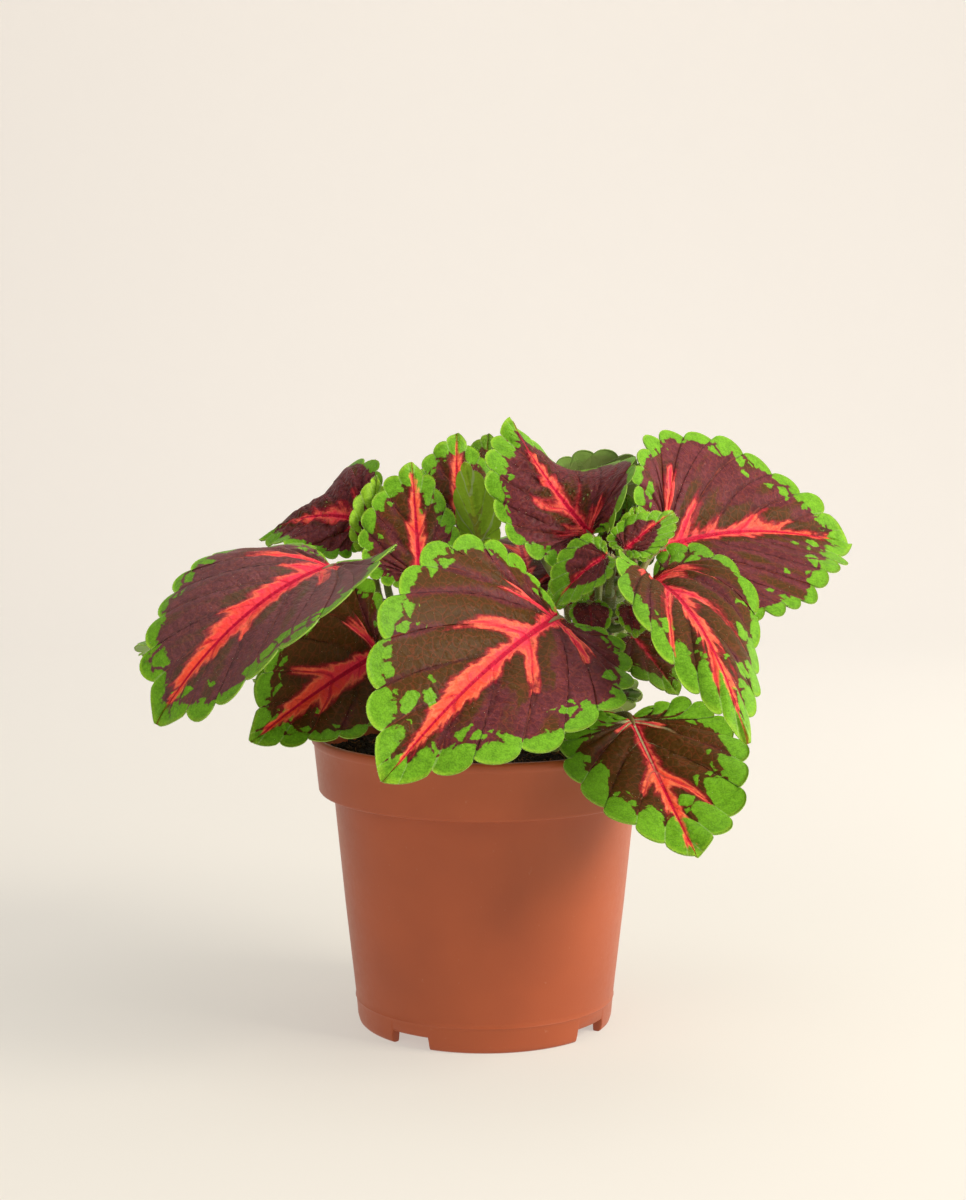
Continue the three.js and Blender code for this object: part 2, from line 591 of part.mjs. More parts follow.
// Stalk: out of the stem's face, then up or down to the joint, and a little way on under the midrib
function stalkGeometry(leaf) {
  const { ahead, up } = bladeFrame(leaf);
  const joint = vector(leaf.joint);
  const { centre, onward, half } = stemAt(STEMS[leaf.stem], leaf.node);
  const away = new THREE.Vector3(joint.x - centre.x, joint.y - centre.y, 0);
  away.addScaledVector(onward, -away.dot(onward)).normalize();
  const facing = Math.atan2(away.y, away.x) - STEMS[leaf.stem].turn * DEGREE;
  const reach = (half - STEM_CORNER / 2) * (Math.abs(Math.cos(facing)) + Math.abs(Math.sin(facing)));
  const start = centre.clone().addScaledVector(away, Math.max(reach, half) + STALK_SEAT);
  const under = joint.clone().addScaledVector(up, -THICKNESS);
  const span = start.distanceTo(under);
  const rise = start.clone().addScaledVector(away, span * STALK_ARCH);
  const end = under.clone().addScaledVector(ahead, -span * STALK_LEVEL);
  const curve = new THREE.CubicBezierCurve3(start, rise, end, under);
  const path = new THREE.CurvePath();
  path.add(curve);
  path.add(new THREE.LineCurve3(under, under.clone().addScaledVector(ahead, leaf.length * STALK_UNDER)));
  const section = (share) => {
    const radius = THREE.MathUtils.lerp(STALK_FOOT, STALK_TOP, share);
    return Array.from({ length: STALK_SIDES }, (_, side) => {
      const angle = (side / STALK_SIDES) * 2 * Math.PI;
      return [radius * Math.cos(angle), radius * Math.sin(angle)];
    });
  };
  const reference = new THREE.Vector3().crossVectors(away, new THREE.Vector3(0, 0, 1)).normalize();
  return tubeOf(ringsAlong(path, STALK_STEPS, section, reference));
}

function leafGeometry(leaf) {
  return geometryOf(solidOf(bladeGeometry(leaf)).add(solidOf(stalkGeometry(leaf))));
}

// The whole plant

const clay = { color: 0xa05033, roughness: 0.55, metalness: 0 };
const earth = { color: 0x2a1a12, roughness: 1, metalness: 0 };
const stalk = { color: 0x6b7f3a, roughness: 0.7, metalness: 0 };
const foliage = { color: 0x5b2f33, roughness: 0.6, metalness: 0 };

function piece(name, geometry, finish) {
  const mesh = new THREE.Mesh(geometry, new THREE.MeshStandardMaterial(finish));
  mesh.name = name;
  return mesh;
}

const plant = new THREE.Group();
plant.add(piece("pot", potGeometry(), clay));
plant.add(piece("soil", soilGeometry(), earth));
for (const [name, stem] of Object.entries(STEMS)) {
  plant.add(piece(`stem_${name}`, stemGeometry(stem, 0), stalk));
}
for (const leaf of LEAVES) {
  plant.add(piece(leaf.name, leafGeometry(leaf), foliage));
}

export default plant;
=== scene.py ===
"""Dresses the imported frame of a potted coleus: patterned leaves, square stems, soil and a moulded nursery pot."""

import logging
import math
from dataclasses import dataclass, field
from enum import Enum

import bmesh
import bpy
import numpy as np
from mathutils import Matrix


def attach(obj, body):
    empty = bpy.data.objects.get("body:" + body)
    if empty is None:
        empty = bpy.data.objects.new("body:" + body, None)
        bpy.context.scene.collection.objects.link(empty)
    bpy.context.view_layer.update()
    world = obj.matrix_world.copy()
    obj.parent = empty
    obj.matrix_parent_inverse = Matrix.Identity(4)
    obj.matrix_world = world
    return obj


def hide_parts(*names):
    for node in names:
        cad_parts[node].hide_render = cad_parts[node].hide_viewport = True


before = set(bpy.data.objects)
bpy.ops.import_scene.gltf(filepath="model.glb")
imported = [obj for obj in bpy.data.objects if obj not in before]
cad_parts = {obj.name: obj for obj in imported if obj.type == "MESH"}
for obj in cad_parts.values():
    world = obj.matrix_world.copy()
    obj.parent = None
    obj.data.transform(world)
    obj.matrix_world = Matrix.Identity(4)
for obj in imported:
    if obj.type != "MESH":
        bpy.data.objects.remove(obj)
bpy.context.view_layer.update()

LOG = logging.getLogger("coleus")
MILLIMETRE = 0.001
HAIR_WIDTH = 0.07
# Places of the colour sockets on a mix node
MIX_SHARE, MIX_A, MIX_B, MIX_COLOUR = 0, 6, 7, 2
# Linear greys that an overlay turns to darker and lighter grain
GREY_DARK, GREY_LIGHT = (0.25, 0.25, 0.25, 1.0), (0.75, 0.75, 0.75, 1.0)

Array = np.ndarray
Pair = tuple[float, float]
Point = tuple[float, float, float]


class Slot(Enum):
    """Material slots of the record."""

    POT = "pot_plastic"
    SOIL = "potting_soil"
    STEM = "stem_tissue"
    LEAF = "leaf_tissue"


# Small helpers


def linear(code: str) -> tuple[float, float, float, float]:
    """Turns an sRGB hex colour to linear.

    Args:
        code: the colour as "#rrggbb".

    Returns:
        Linear red, green, blue and an alpha of 1.
    """
    parts = [int(code[place : place + 2], 16) / 255 for place in (1, 3, 5)]
    red, green, blue = (c / 12.92 if c <= 0.04045 else ((c + 0.055) / 1.055) ** 2.4 for c in parts)
    return red, green, blue, 1.0


def smooth(low: float, high: float, values: Array) -> Array:
    """The smooth step from 0 at low to 1 at high: 3t^2 - 2t^3 of the clipped share t."""
    share = np.clip((values - low) / (high - low), 0, 1)
    return share * share * (3 - 2 * share)


def unit(vectors: Array) -> Array:
    """Vectors scaled to length 1 along the last axis."""
    return vectors / np.maximum(np.linalg.norm(vectors, axis=-1, keepdims=True), 1e-12)


Socket = bpy.types.NodeSocket | float | tuple[float, ...]


class Nodes:
    """The node tree of one material, with a short call for each thing that the finishes do.

    Wherever a Socket is asked for, a plain number or colour does as well.
    """

    def __init__(self, name: str) -> None:
        """Starts a material with an empty tree.

        Args:
            name: the material's name.
        """
        self.material = bpy.data.materials.new(name)
        self.material.use_nodes = True
        self.tree = self.material.node_tree
        self.tree.nodes.clear()

    def add(self, kind: str, inputs: dict[str | int, Socket], output: str | int = 0, **settings: str | bool) -> Socket:
        """Adds a node.

        Args:
            kind: the node's type name without the "ShaderNode" in front.
            inputs: input name or number to what goes into it.
            output: which output to return.
            **settings: properties of the node.

        Returns:
            The chosen output, or None where the node has no outputs.
        """
        node = self.tree.nodes.new("ShaderNode" + kind)
        for name, value in settings.items():
            setattr(node, name, value)
        for name, value in inputs.items():
            if isinstance(value, bpy.types.NodeSocket):
                self.tree.links.new(value, node.inputs[name])
            else:
                node.inputs[name].default_value = value
        return node.outputs[output] if node.outputs else None

    def place(self) -> Socket:
        """The place in the object, in metres."""
        return self.add("TexCoord", {}, "Object")

    def layer(self, name: str, output: str = "Fac") -> Socket:
        """A layer of the mesh."""
        return self.add("Attribute", {}, output, attribute_name=name)

    def math(self, operation: str, a: Socket, b: Socket = 0.0, c: Socket = 0.0, clamp: bool = False) -> Socket:
        """One sum of up to three values."""
        return self.add("Math", {0: a, 1: b, 2: c}, operation=operation, use_clamp=clamp)

    def times(self, a: Socket, b: Socket) -> Socket:
        """a times b."""
        return self.math("MULTIPLY", a, b)

    def plus(self, value: Socket, more: Socket, factor: Socket) -> Socket:
        """A value plus a factor times more."""
        return self.math("MULTIPLY_ADD", more, factor, value)

    def less(self, a: Socket, b: Socket, clamp: bool = False) -> Socket:
        """a less b, and not below 0 where clamp is set."""
        return self.math("SUBTRACT", a, b, clamp=clamp)

    def ramp(self, value: Socket, low: float, high: float, first: float = 0.0, last: float = 1.0) -> Socket:
        """Goes straight from first, where the value is low, to last, where it is high."""
        inputs = {"Value": value, "From Min": low, "From Max": high, "To Min": first, "To Max": last}
        return self.add("MapRange", inputs)

    def step(self, value: Socket, low: float, high: float) -> Socket:
        """A smooth step from 0, where the value is low, to 1, where it is high."""
        inputs = {"Value": value, "From Min": low, "From Max": high}
        return self.add("MapRange", inputs, interpolation_type="SMOOTHSTEP")

    def noise(self, where: Socket, scale: float, detail: float = 2.0, rough: float = 0.5) -> Socket:
        """Noise with so many lumps in a metre, or in the unit of the layer that it is read from."""
        return self.add("TexNoise", {"Vector": where, "Scale": scale, "Detail": detail, "Roughness": rough})

    def gaps(self, where: Socket, scale: float) -> Socket:
        """Distance to the edges of cells, with so many cells in a metre."""
        return self.add("TexVoronoi", {"Vector": where, "Scale": scale}, feature="DISTANCE_TO_EDGE")

    def swing(self, value: Socket, *noises: tuple[Socket, float]) -> Socket:
        """A value moved by noises, by each up to half its amount both ways.

        Args:
            value: what is moved.
            *noises: noises with their amounts.

        Returns:
            The moved value.
        """
        for noise, amount in noises:
            value = self.plus(value, self.less(noise, 0.5), amount)
        return value

    def swirl(self, place: Socket, noise: Socket) -> Socket:
        """A place moved up to 1 mm by a noise, so that a regular pattern wanders."""
        away = self.add("VectorMath", {0: noise, "Scale": 2 * MILLIMETRE}, operation="SCALE")
        return self.add("VectorMath", {0: place, 1: away}, operation="ADD")

    def mix(self, share: Socket, a: Socket, b: Socket, kind: str = "MIX") -> Socket:
        """Colour a turning to b by a share."""
        inputs = {MIX_SHARE: share, MIX_A: a, MIX_B: b}
        return self.add("Mix", inputs, MIX_COLOUR, data_type="RGBA", blend_type=kind)

    def coat(self, colour: Socket, *coats: tuple[Socket, float, str]) -> Socket:
        """Lays coats over a colour, one after the other, without those whose share or amount is 0.

        Args:
            colour: the colour below.
            *coats: for each its share, an amount that the share is taken times, and its tint.

        Returns:
            The colour with its coats.
        """
        for share, amount, tint in coats:
            if share and amount:
                share = share * amount if isinstance(share, float) else self.times(share, amount)
                colour = self.mix(share, colour, linear(tint))
        return colour

    def bump(self, height: Socket, strength: float, depth: float) -> Socket:
        """A normal bent by a height, whose unit is depth metres."""
        return self.add("Bump", {"Height": height, "Strength": strength, "Distance": depth})

    def close(self, inputs: dict[str | int, Socket]) -> bpy.types.Material:
        """Ends the tree with a Principled shader and gives the material."""
        self.add("OutputMaterial", {"Surface": self.add("BsdfPrincipled", inputs)})
        return self.material


@dataclass
class Surface:
    """Vertices in mm and faces that are gathered into one mesh.

    Attributes:
        points: arrays of points, each n by 3.
        faces: lists of faces, each with numbers into all points.
        slots: the material number of each face, in the faces' order.
        layers: name to arrays of values for each point, in the points' order.
    """

    points: list[Array] = field(default_factory=list)
    faces: list[Array] = field(default_factory=list)
    slots: list[Array] = field(default_factory=list)
    layers: dict[str, list[Array]] = field(default_factory=dict)
    count: int = 0

    def add(self, points: Array, faces: list[Array], slot: int = 0, **layers: Array) -> None:
        """Adds points, faces numbered from 0 among them, and the points' values.

        Args:
            points: n by 3 array in mm.
            faces: arrays of triangles or quads, m by 3 or m by 4.
            slot: the faces' material number.
            **layers: n values, or n by 3 vectors, for each layer; others stay 0.
        """
        for name in set(layers) | set(self.layers):
            before = self.layers.setdefault(name, [])
            value = np.asarray(layers.get(name, np.zeros(len(points))), dtype=float)
            if not before and self.count:
                before.append(np.zeros((self.count,) + value.shape[1:]))
            if name not in layers and before and before[0].ndim > 1:
                value = np.zeros((len(points), before[0].shape[1]))
            before.append(value)
        self.points.append(points)
        for group in faces:
            self.faces.append(group + self.count)
            self.slots.append(np.full(len(group), slot))
        self.count += len(points)

    def build(self, name: str, materials: list[bpy.types.Material], smooth_shade: bool = True) -> bpy.types.Object:
        """Makes the object, with its place in its mesh.

        Args:
            name: the object's name.
            materials: its materials, in slot order.
            smooth_shade: whether the faces are shaded smooth.

        Returns:
            The new object, linked to the scene.
        """
        points = np.concatenate(self.points) * MILLIMETRE
        sizes = np.concatenate([np.full(len(group), group.shape[1]) for group in self.faces])
        corners = np.concatenate([group.ravel() for group in self.faces])
        starts = np.concatenate([[0], np.cumsum(sizes)[:-1]])
        mesh = bpy.data.meshes.new(name)
        mesh.vertices.add(len(points))
        mesh.vertices.foreach_set("co", points.ravel())
        mesh.loops.add(len(corners))
        mesh.loops.foreach_set("vertex_index", corners.astype(np.int32))
        mesh.polygons.add(len(sizes))
        numbers = {"loop_start": starts, "loop_total": sizes, "material_index": np.concatenate(self.slots)}
        for key, values in numbers.items():
            mesh.polygons.foreach_set(key, values.astype(np.int32))
        mesh.polygons.foreach_set("use_smooth", np.full(len(sizes), smooth_shade))
        for layer, values in self.layers.items():
            stacked = np.concatenate(values)
            kind, key = ("FLOAT_VECTOR", "vector") if stacked.ndim > 1 else ("FLOAT", "value")
            attribute = mesh.attributes.new(layer, kind, "POINT")
            attribute.data.foreach_set(key, stacked.ravel().astype(np.float32))
        mesh.update(calc_edges=True)
        mesh.validate()
        for material in materials:
            mesh.materials.append(material)
        piece = bpy.data.objects.new(name, mesh)
        bpy.context.scene.collection.objects.link(piece)
        return piece


def grid_faces(rows: int, columns: int, closed: bool = False) -> Array:
    """Quads of a grid of points stored row by row.

    Args:
        rows: number of rows.
        columns: number of points in a row.
        closed: whether each row joins its own start.

    Returns:
        m by 4 array of point numbers.
    """
    wide = columns if closed else columns - 1
    row, column = np.meshgrid(np.arange(rows - 1), np.arange(wide), indexing="ij")
    right = (column + 1) % columns
    a = row * columns + column
    b = row * columns + right
    return np.stack([a, b, b + columns, a + columns], axis=-1).reshape(-1, 4)


def seat(piece: bpy.types.Object, slot: Slot, *nodes: str) -> None:
    """Makes a piece ride on the plant and hides the nodes that it stands for.

    Args:
        piece: the dressed piece.
        slot: its record slot, which is not used.
        *nodes: the nodes that it replaces.
    """
    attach(piece, "root")
    if nodes:
        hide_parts(*nodes)
    LOG.info("%s: %d faces", piece.name, len(piece.data.polygons))


# Curves through space


def tangents(points: Array) -> Array:
    """Unit directions along a row of points."""
    return unit(np.gradient(points, axis=0))


def tube(centres: Array, sections: Array, reference: Array) -> Array:
    """Rings of a section carried along a path, each square to it.

    The ring's v axis is the path's direction crossed with the reference, and u is v crossed with the
    direction, so u lies nearest to the reference.

    Args:
        centres: n by 3 path.
        sections: n by m by 2 ring points in u and v.
        reference: the direction that u lies nearest to.

    Returns:
        n by m by 3 points.
    """
    ahead = tangents(centres)
    v = unit(np.cross(ahead, reference))
    u = unit(np.cross(v, ahead))
    return centres[:, None] + sections[..., :1] * u[:, None] + sections[..., 1:] * v[:, None]


def capped_tube(
    surface: Surface, rings: Array, slot: int = 0, ends: Array | None = None, **layers: Array
) -> None:
    """Adds a closed tube: quads round the rings and a fan over each end.

    Args:
        surface: where the tube goes.
        rings: n by m by 3 points.
        slot: the material number.
        ends: the middles of the two fans, or None for the middles of the end rings.
        **layers: n values, one for each ring.
    """
    steps, sides = rings.shape[:2]
    ends = np.stack([rings[0].mean(axis=0), rings[-1].mean(axis=0)]) if ends is None else ends
    first = steps * sides
    side = np.arange(sides)
    onward = (side + 1) % sides
    last = (steps - 1) * sides
    start = np.stack([onward, side, np.full(sides, first)], axis=-1)
    finish = np.stack([last + side, last + onward, np.full(sides, first + 1)], axis=-1)
    spread = {
        name: np.concatenate([np.repeat(value, sides, axis=0), value[:1], value[-1:]])
        for name, value in layers.items()
    }
    points = np.concatenate([rings.reshape(-1, 3), ends])
    surface.add(points, [grid_faces(steps, sides, closed=True), start, finish], slot, **spread)


def hairs(roots: Array, outward: Array, length: Array, width: float) -> tuple[Array, Array]:
    """Short hairs, each a slim three-sided spike.

    Args:
        roots: n by 3 foot points.
        outward: n by 3 unit directions.
        length: n lengths in mm.
        width: width of the foot in mm.

    Returns:
        The points and the triangles.
    """
    helper = np.where(np.abs(outward[:, 2:]) < 0.9, [[0.0, 0.0, 1.0]], [[1.0, 0.0, 0.0]])
    u = unit(np.cross(outward, helper))
    v = np.cross(outward, u)
    angle = np.radians([0.0, 120.0, 240.0])
    feet = roots[:, None] + width / 2 * (np.cos(angle)[:, None] * u[:, None] + np.sin(angle)[:, None] * v[:, None])
    tips = roots + outward * length[:, None]
    points = np.concatenate([feet, tips[:, None]], axis=1).reshape(-1, 3)
    base = np.arange(len(roots))[:, None, None] * 4
    spike = np.array([[0, 1, 3], [1, 2, 3], [2, 0, 3], [2, 1, 0]])
    return points, (base + spike).reshape(-1, 3)


def catmull_rom(knots: Array, number: Array, t: Array) -> Array:
    """A smooth curve through knots.

    Args:
        knots: n by m array; beyond its ends the end knots count twice.
        number: the knot before each point.
        t: the share of the way from there to the next knot, with one more axis than number.

    Returns:
        The points.
    """
    p0, p1, p2, p3 = (knots[np.clip(number + step, 0, len(knots) - 1)] for step in (-1, 0, 1, 2))
    v1, v2 = (p2 - p0) / 2, (p3 - p1) / 2
    return (2 * p1 - 2 * p2 + v1 + v2) * t**3 + (3 * p2 - 3 * p1 - 2 * v1 - v2) * t**2 + v1 * t + p1


# Stem and leaf form: the same values and rules as in the part's source


@dataclass(frozen=True)
class Stem:
    """A square stem, rooted in the soil, as in the part's source.

    Attributes:
        name: its node in the frame.
        foot: where it leaves the soil, in mm.
        top: its tip.
        bow: how far its middle bends outwards, in mm.
        turn: turn of its square section, in degrees.
    """

    name: str
    foot: Pair
    top: Point
    bow: float
    turn: float

    SOIL_LEVEL = 93.0
    ROOT_DEPTH = 30.0
    FOOT_HALF = 3.0
    TOP_HALF = 1.9
    CORNER = 0.55

    def path(self, share: Array) -> Array:
        """The stem's axis: a Catmull-Rom curve through its root, foot, bowed middle and top.

        Args:
            share: way from the root to the tip.

        Returns:
            Points in mm.
        """
        foot = np.array([*self.foot, self.SOIL_LEVEL])
        top = np.array(self.top)
        lean = unit(np.array([top[0] - foot[0], top[1] - foot[1], 0.0]))
        middle = (foot + top) / 2 + lean * self.bow
        root = np.array([*self.foot, self.SOIL_LEVEL - self.ROOT_DEPTH])
        knots = np.stack([2 * root - foot, root, foot, middle, top, 2 * top - middle])
        place = np.clip(share, 0, 1) * 3
        low = np.minimum(np.floor(place).astype(int), 2)
        return catmull_rom(knots, low + 1, (place - low)[..., None])

    def half(self, share: Array) -> Array:
        """Half the stem's width."""
        return self.FOOT_HALF + (self.TOP_HALF - self.FOOT_HALF) * share

    def at(self, height: float) -> tuple[Array, Array, float]:
        """The axis, its direction and the half width at a height.

        Args:
            height: in mm.

        Returns:
            The point in mm, the unit direction and half the width in mm.
        """
        low, high = 0.0, 1.0
        for _ in range(30):
            middle = (low + high) / 2
            low, high = (middle, high) if self.path(np.array(middle))[2] < height else (low, middle)
        step = 1e-4
        onward = unit(self.path(np.array(low + step)) - self.path(np.array(low - step)))
        return self.path(np.array(low)), onward, float(self.half(np.array(low)))


MAIN = Stem("stem_main", (22, -4), (43, -20, 158), 6, 35)
LEFT = Stem("stem_left", (-18, -4), (-29, -1, 149), -4, 25)
BACK = Stem("stem_back", (0, 20), (-2, 25, 167), 4, 10)
STEMS = (MAIN, LEFT, BACK)

OUTLINE = np.array([
    [0, 0], [-0.055, 0.13], [-0.01, 0.31], [0.16, 0.43], [0.39, 0.45], [0.61, 0.37], [0.8, 0.235],
    [0.93, 0.1], [1, 0],
])
HALF_WIDTH = 0.45
SCALLOP = 0.05
SCALLOP_UNEVEN = 0.22
SCALLOP_CYCLE = 2.4
SCALLOP_ROUND = 0.62
SCALLOP_LEAN = 0.85
SCALLOP_SINK = 0.6
SCALLOP_GROWN = 0.3
FIRST_NOTCH = 0.13
LAST_NOTCH = 0.84
NOTCH_SPREAD = 1.2
TIP_LEAN = 0.6
TIP_BULGE = 0.45
WAVES = 3.5


def outline_at(share: Array) -> Array:
    """The blade's outline: a Catmull-Rom curve through OUTLINE.

    Args:
        share: way along it.

    Returns:
        Shares of the length along and across.
    """
    last = len(OUTLINE) - 1
    place = np.clip(share, 0, 1) * last
    low = np.minimum(np.floor(place).astype(int), last - 1)
    return catmull_rom(OUTLINE, low, (place - low)[..., None])


def arc(bend: Array, start: Array, reach: Array) -> tuple[Array, Array, Array]:
    """A unit arc that starts at an angle and bends steadily.

    run = (sin(end) - sin(start)) / bend and rise = (cos(start) - cos(end)) / bend.

    Args:
        bend: angle for each unit of length.
        start: angle at the start.
        reach: length.

    Returns:
        run, rise and the angle at the end.
    """
    rate = np.where(np.abs(bend) < 1e-6, 1e-6, bend)
    end = start + rate * reach
    return (np.sin(end) - np.sin(start)) / rate, (np.cos(start) - np.cos(end)) / rate, end


@dataclass(frozen=True)
class Look:
    """What a leaf's pattern looks like.

    Attributes:
        flame: half width of the coral flame on the midrib, in mm.
        left: how far the flame runs out along each side vein of the left half, the one beside the stalk
            first, as shares of the veins.
        right: the same for the right half.
        start: share of the midrib before which the flame is thin.
        end: share of the midrib where the flame ends.
        pink: 0 for a coral-orange flame, 1 for a pink-red one.
        green: depth of the green scallops, in mm.
        blobs: how far loose green spots reach inside the scallops, in mm.
        olive: how much of the field is olive-brown rather than maroon, from 0 to 1.
        pale_veins: pale green veins near the stalk, from 0 to 1.
        pucker: depth of the wrinkles near the stalk, in mm.
        bays: how far the green follows the scallops, from 0 for an even band to 1.
        lean: how much more olive the half with reach above 0 is than the other.
        painted_sheen: how much of the down's lilac sheen is painted flat over the field, from 0 to 1.
        painted_shade: how much painted shade darkens the whole leaf, from 0 to 1.
        fresh: how yellow the green is, from 0 to 1.
    """

    flame: float = 3.2
    left: tuple[float, ...] = (0.5, 0.1, 0.5, 0.1, 0.3, 0.1)
    right: tuple[float, ...] = (0.5, 0.1, 0.5, 0.1, 0.3, 0.1)
    start: float = 0.15
    end: float = 0.92
    pink: float = 0.3
    green: float = 4.5
    blobs: float = 6.0
    olive: float = 0.4
    pale_veins: float = 0.0
    pucker: float = 0.3
    bays: float = 0.7
    lean: float = 0.0
    painted_sheen: float = 0.0
    painted_shade: float = 0.0
    fresh: float = 0.3


LARGEST = 95.0


@dataclass(frozen=True)
class Leaf:
    """One leaf: where it grows and how its blade bends, as in the part's source.

    Attributes:
        name: its node in the frame.
        stem: the stem that it grows on.
        node: height on the stem where its stalk starts, in mm.
        joint: where stalk and blade meet, in mm.
        heading: compass direction of the blade, from +X towards +Y, in degrees.
        pitch: angle up from level.
        roll: turn about the midrib, left half up.
        length: blade length in mm.
        teeth: scallops on each side, the long tip one included.
        look: its pattern.
        width: width of the left and right half against OUTLINE.
        droop: bend down over the length.
        sway: bend towards the left half over the length.
        lobe: more lift near the stalk, left and right.
        fold: lift at the midrib, left and right.
        arch: bend down towards the margin, left and right.
        wave: height of the margin's waves, in mm.
    """

    name: str
    stem: Stem
    node: float
    joint: Point
    heading: float
    pitch: float
    roll: float
    length: float
    teeth: int
    look: Look
    width: Pair = (0.95, 0.95)
    droop: float = 10.0
    sway: float = 0.0
    lobe: Pair = (0.0, 0.0)
    fold: Pair = (10.0, 10.0)
    arch: Pair = (10.0, 10.0)
    wave: float = 1.0

    def notch(self, number: Array) -> Array:
        """The way along the margin at which a notch lies, with numbers between notches in the scallops."""
        way = np.clip(np.asarray(number) / (self.teeth - 1), 0, 1)
        return FIRST_NOTCH + way**NOTCH_SPREAD * (LAST_NOTCH - FIRST_NOTCH)

    def scallop(self, share: Array) -> Array:
        """The number of the notch at a way along the margin: whole at the notches, and past them to the tip.

        Args:
            share: way along the margin.

        Returns:
            The numbers, which run on below 0 before the first notch.
        """
        way = (share - FIRST_NOTCH) / (LAST_NOTCH - FIRST_NOTCH)
        between = np.clip(way, 0, 1) ** (1 / NOTCH_SPREAD) * (self.teeth - 1)
        onward = (self.teeth - 1) / NOTCH_SPREAD
        return between + np.minimum(way, 0) * onward + np.maximum(way - 1, 0) * onward

    def margin(self, share: Array) -> Array:
        """The margin: the outline moved out along its normal by scallops between sunk notches.

        A scallop's bulge is sin^n of its way, all grow from the stalk on, and the long one at the tip
        starts steeply.

        Args:
            share: way along the margin.

        Returns:
            Shares of the length along and across.
        """
        point = outline_at(share)
        step = 1e-4
        ahead = unit(outline_at(share + step) - outline_at(share - step))
        place = self.scallop(share)
        number = np.clip(np.floor(place), 0, self.teeth - 2)
        within = np.clip(place - number, 0, 1) ** SCALLOP_LEAN
        size = SCALLOP * (1 + SCALLOP_UNEVEN * np.sin(SCALLOP_CYCLE * number + self.joint[0]))
        rise = size * np.clip(np.sin(np.pi * within), 0, 1) ** SCALLOP_ROUND - SCALLOP * SCALLOP_SINK
        onward = np.clip((share - LAST_NOTCH) / (1 - LAST_NOTCH), 0, 1)
        tip = TIP_BULGE * np.clip(np.sin(np.pi * onward**TIP_LEAN), 0, 1) ** SCALLOP_ROUND
        rise = np.where(share >= LAST_NOTCH, SCALLOP * (tip - SCALLOP_SINK * (1 - onward)), rise)
        rise = np.where(share <= FIRST_NOTCH, -SCALLOP * SCALLOP_SINK, rise)
        rise = rise * np.clip(share / SCALLOP_GROWN, 0, 1)
        normal = np.stack([-ahead[..., 1], ahead[..., 0]], axis=-1)
        moved = point + normal * rise[..., None]
        moved[..., 1] = np.maximum(moved[..., 1], 0)
        return moved

    def fineness(self) -> float:
        """1 for the largest leaf, and less on small ones, whose patterns and relief are finer."""
        return math.sqrt(self.length / LARGEST)

    def vein(self, share: Array, reach: Array) -> Array:
        """A vein's way from the midrib to the margin, as shares of the length along and across.

        It is a curve of the second degree from its foot to the margin that leans forward, and in the
        lobes beside the stalk it starts that way and then bends back.

        Args:
            share: way along the margin at which it ends.
            reach: 0 at the midrib and 1 at the margin.

        Returns:
            Pairs of shares.
        """
        end = self.margin(share)
        foot = vein_foot(share)
        lean = foot + (end[..., 0] - foot) * (1 - VEIN_CURVE) / 2
        forward = np.stack([lean, end[..., 1] / 2], axis=-1)
        outward = np.array([math.cos(LOBE_ANGLE), math.sin(LOBE_ANGLE)])
        outward = LOBE_REACH * np.linalg.norm(end, axis=-1, keepdims=True) * outward
        control = outward + (forward - outward) * smooth(LOBE_START, LOBE_END, share)[..., None]
        start = np.stack([foot, np.zeros_like(foot)], axis=-1)
        v = np.asarray(reach)[..., None]
        return (1 - v) ** 2 * start + 2 * v * (1 - v) * control + v**2 * end

    def axes(self) -> tuple[Array, Array, Array]:
        """The blade's ahead, left and up directions at its joint.

        Returns:
            Three unit vectors.
        """
        heading, pitch, roll = np.radians([self.heading, self.pitch, self.roll])
        flat = np.cos(pitch)
        ahead = np.array([flat * np.cos(heading), flat * np.sin(heading), np.sin(pitch)])
        level = np.array([-np.sin(heading), np.cos(heading), 0.0])
        upright = np.cross(ahead, level)
        left = level * np.cos(roll) + upright * np.sin(roll)
        up = upright * np.cos(roll) - level * np.sin(roll)
        return ahead, left, up

    def surface(self, along: Array, across: Array, share: Array, reach: Array) -> tuple[Array, Array]:
        """Points of the blade and their outward directions.

        The midrib bends down and sideways on two arcs, and the section across it is a third arc that
        starts at the fold's angle, plus a wave that grows with the square of the reach.

        Args:
            along: place along the midrib, as a share of the length.
            across: signed distance from it, left positive, as a share of the length.
            share: way along the margin.
            reach: unsigned way from the midrib to the margin.

        Returns:
            Points in mm and unit outward directions.
        """
        ahead, left, up = self.axes()
        side = np.where(across < 0, -1.0, 1.0)
        half = (side < 0).astype(int)
        run, rise, angle = arc(np.radians(self.droop), 0.0, along)
        _, away, turn = arc(np.radians(self.sway), 0.0, along)
        onward = np.cos(angle)[..., None] * ahead - np.sin(angle)[..., None] * up
        normal = np.cos(angle)[..., None] * up + np.sin(angle)[..., None] * ahead
        sideways = np.cos(turn)[..., None] * left - np.sin(turn)[..., None] * onward
        rib = np.array(self.joint) + self.length * (run[..., None] * ahead - rise[..., None] * up)
        rib = rib + self.length * away[..., None] * left
        lift = np.array(self.fold)[half] + np.array(self.lobe)[half] * (1 - along) ** 2
        bend = -np.radians(np.array(self.arch)[half]) / HALF_WIDTH
        flat, high, lean = arc(bend, np.radians(lift), np.abs(across))
        lean = np.where(reach == 0, 0, lean)
        point = rib + self.length * ((side * flat)[..., None] * sideways + high[..., None] * normal)
        outward = np.cos(lean)[..., None] * normal - (side * np.sin(lean))[..., None] * sideways
        phase = WAVES * share + self.joint[0] / 10 + side / 4
        wave = self.wave * reach**2 * np.sin(2 * np.pi * phase)
        return point + wave[..., None] * outward, outward


# The looks of the leaves, from the broad kinds down to the youngest

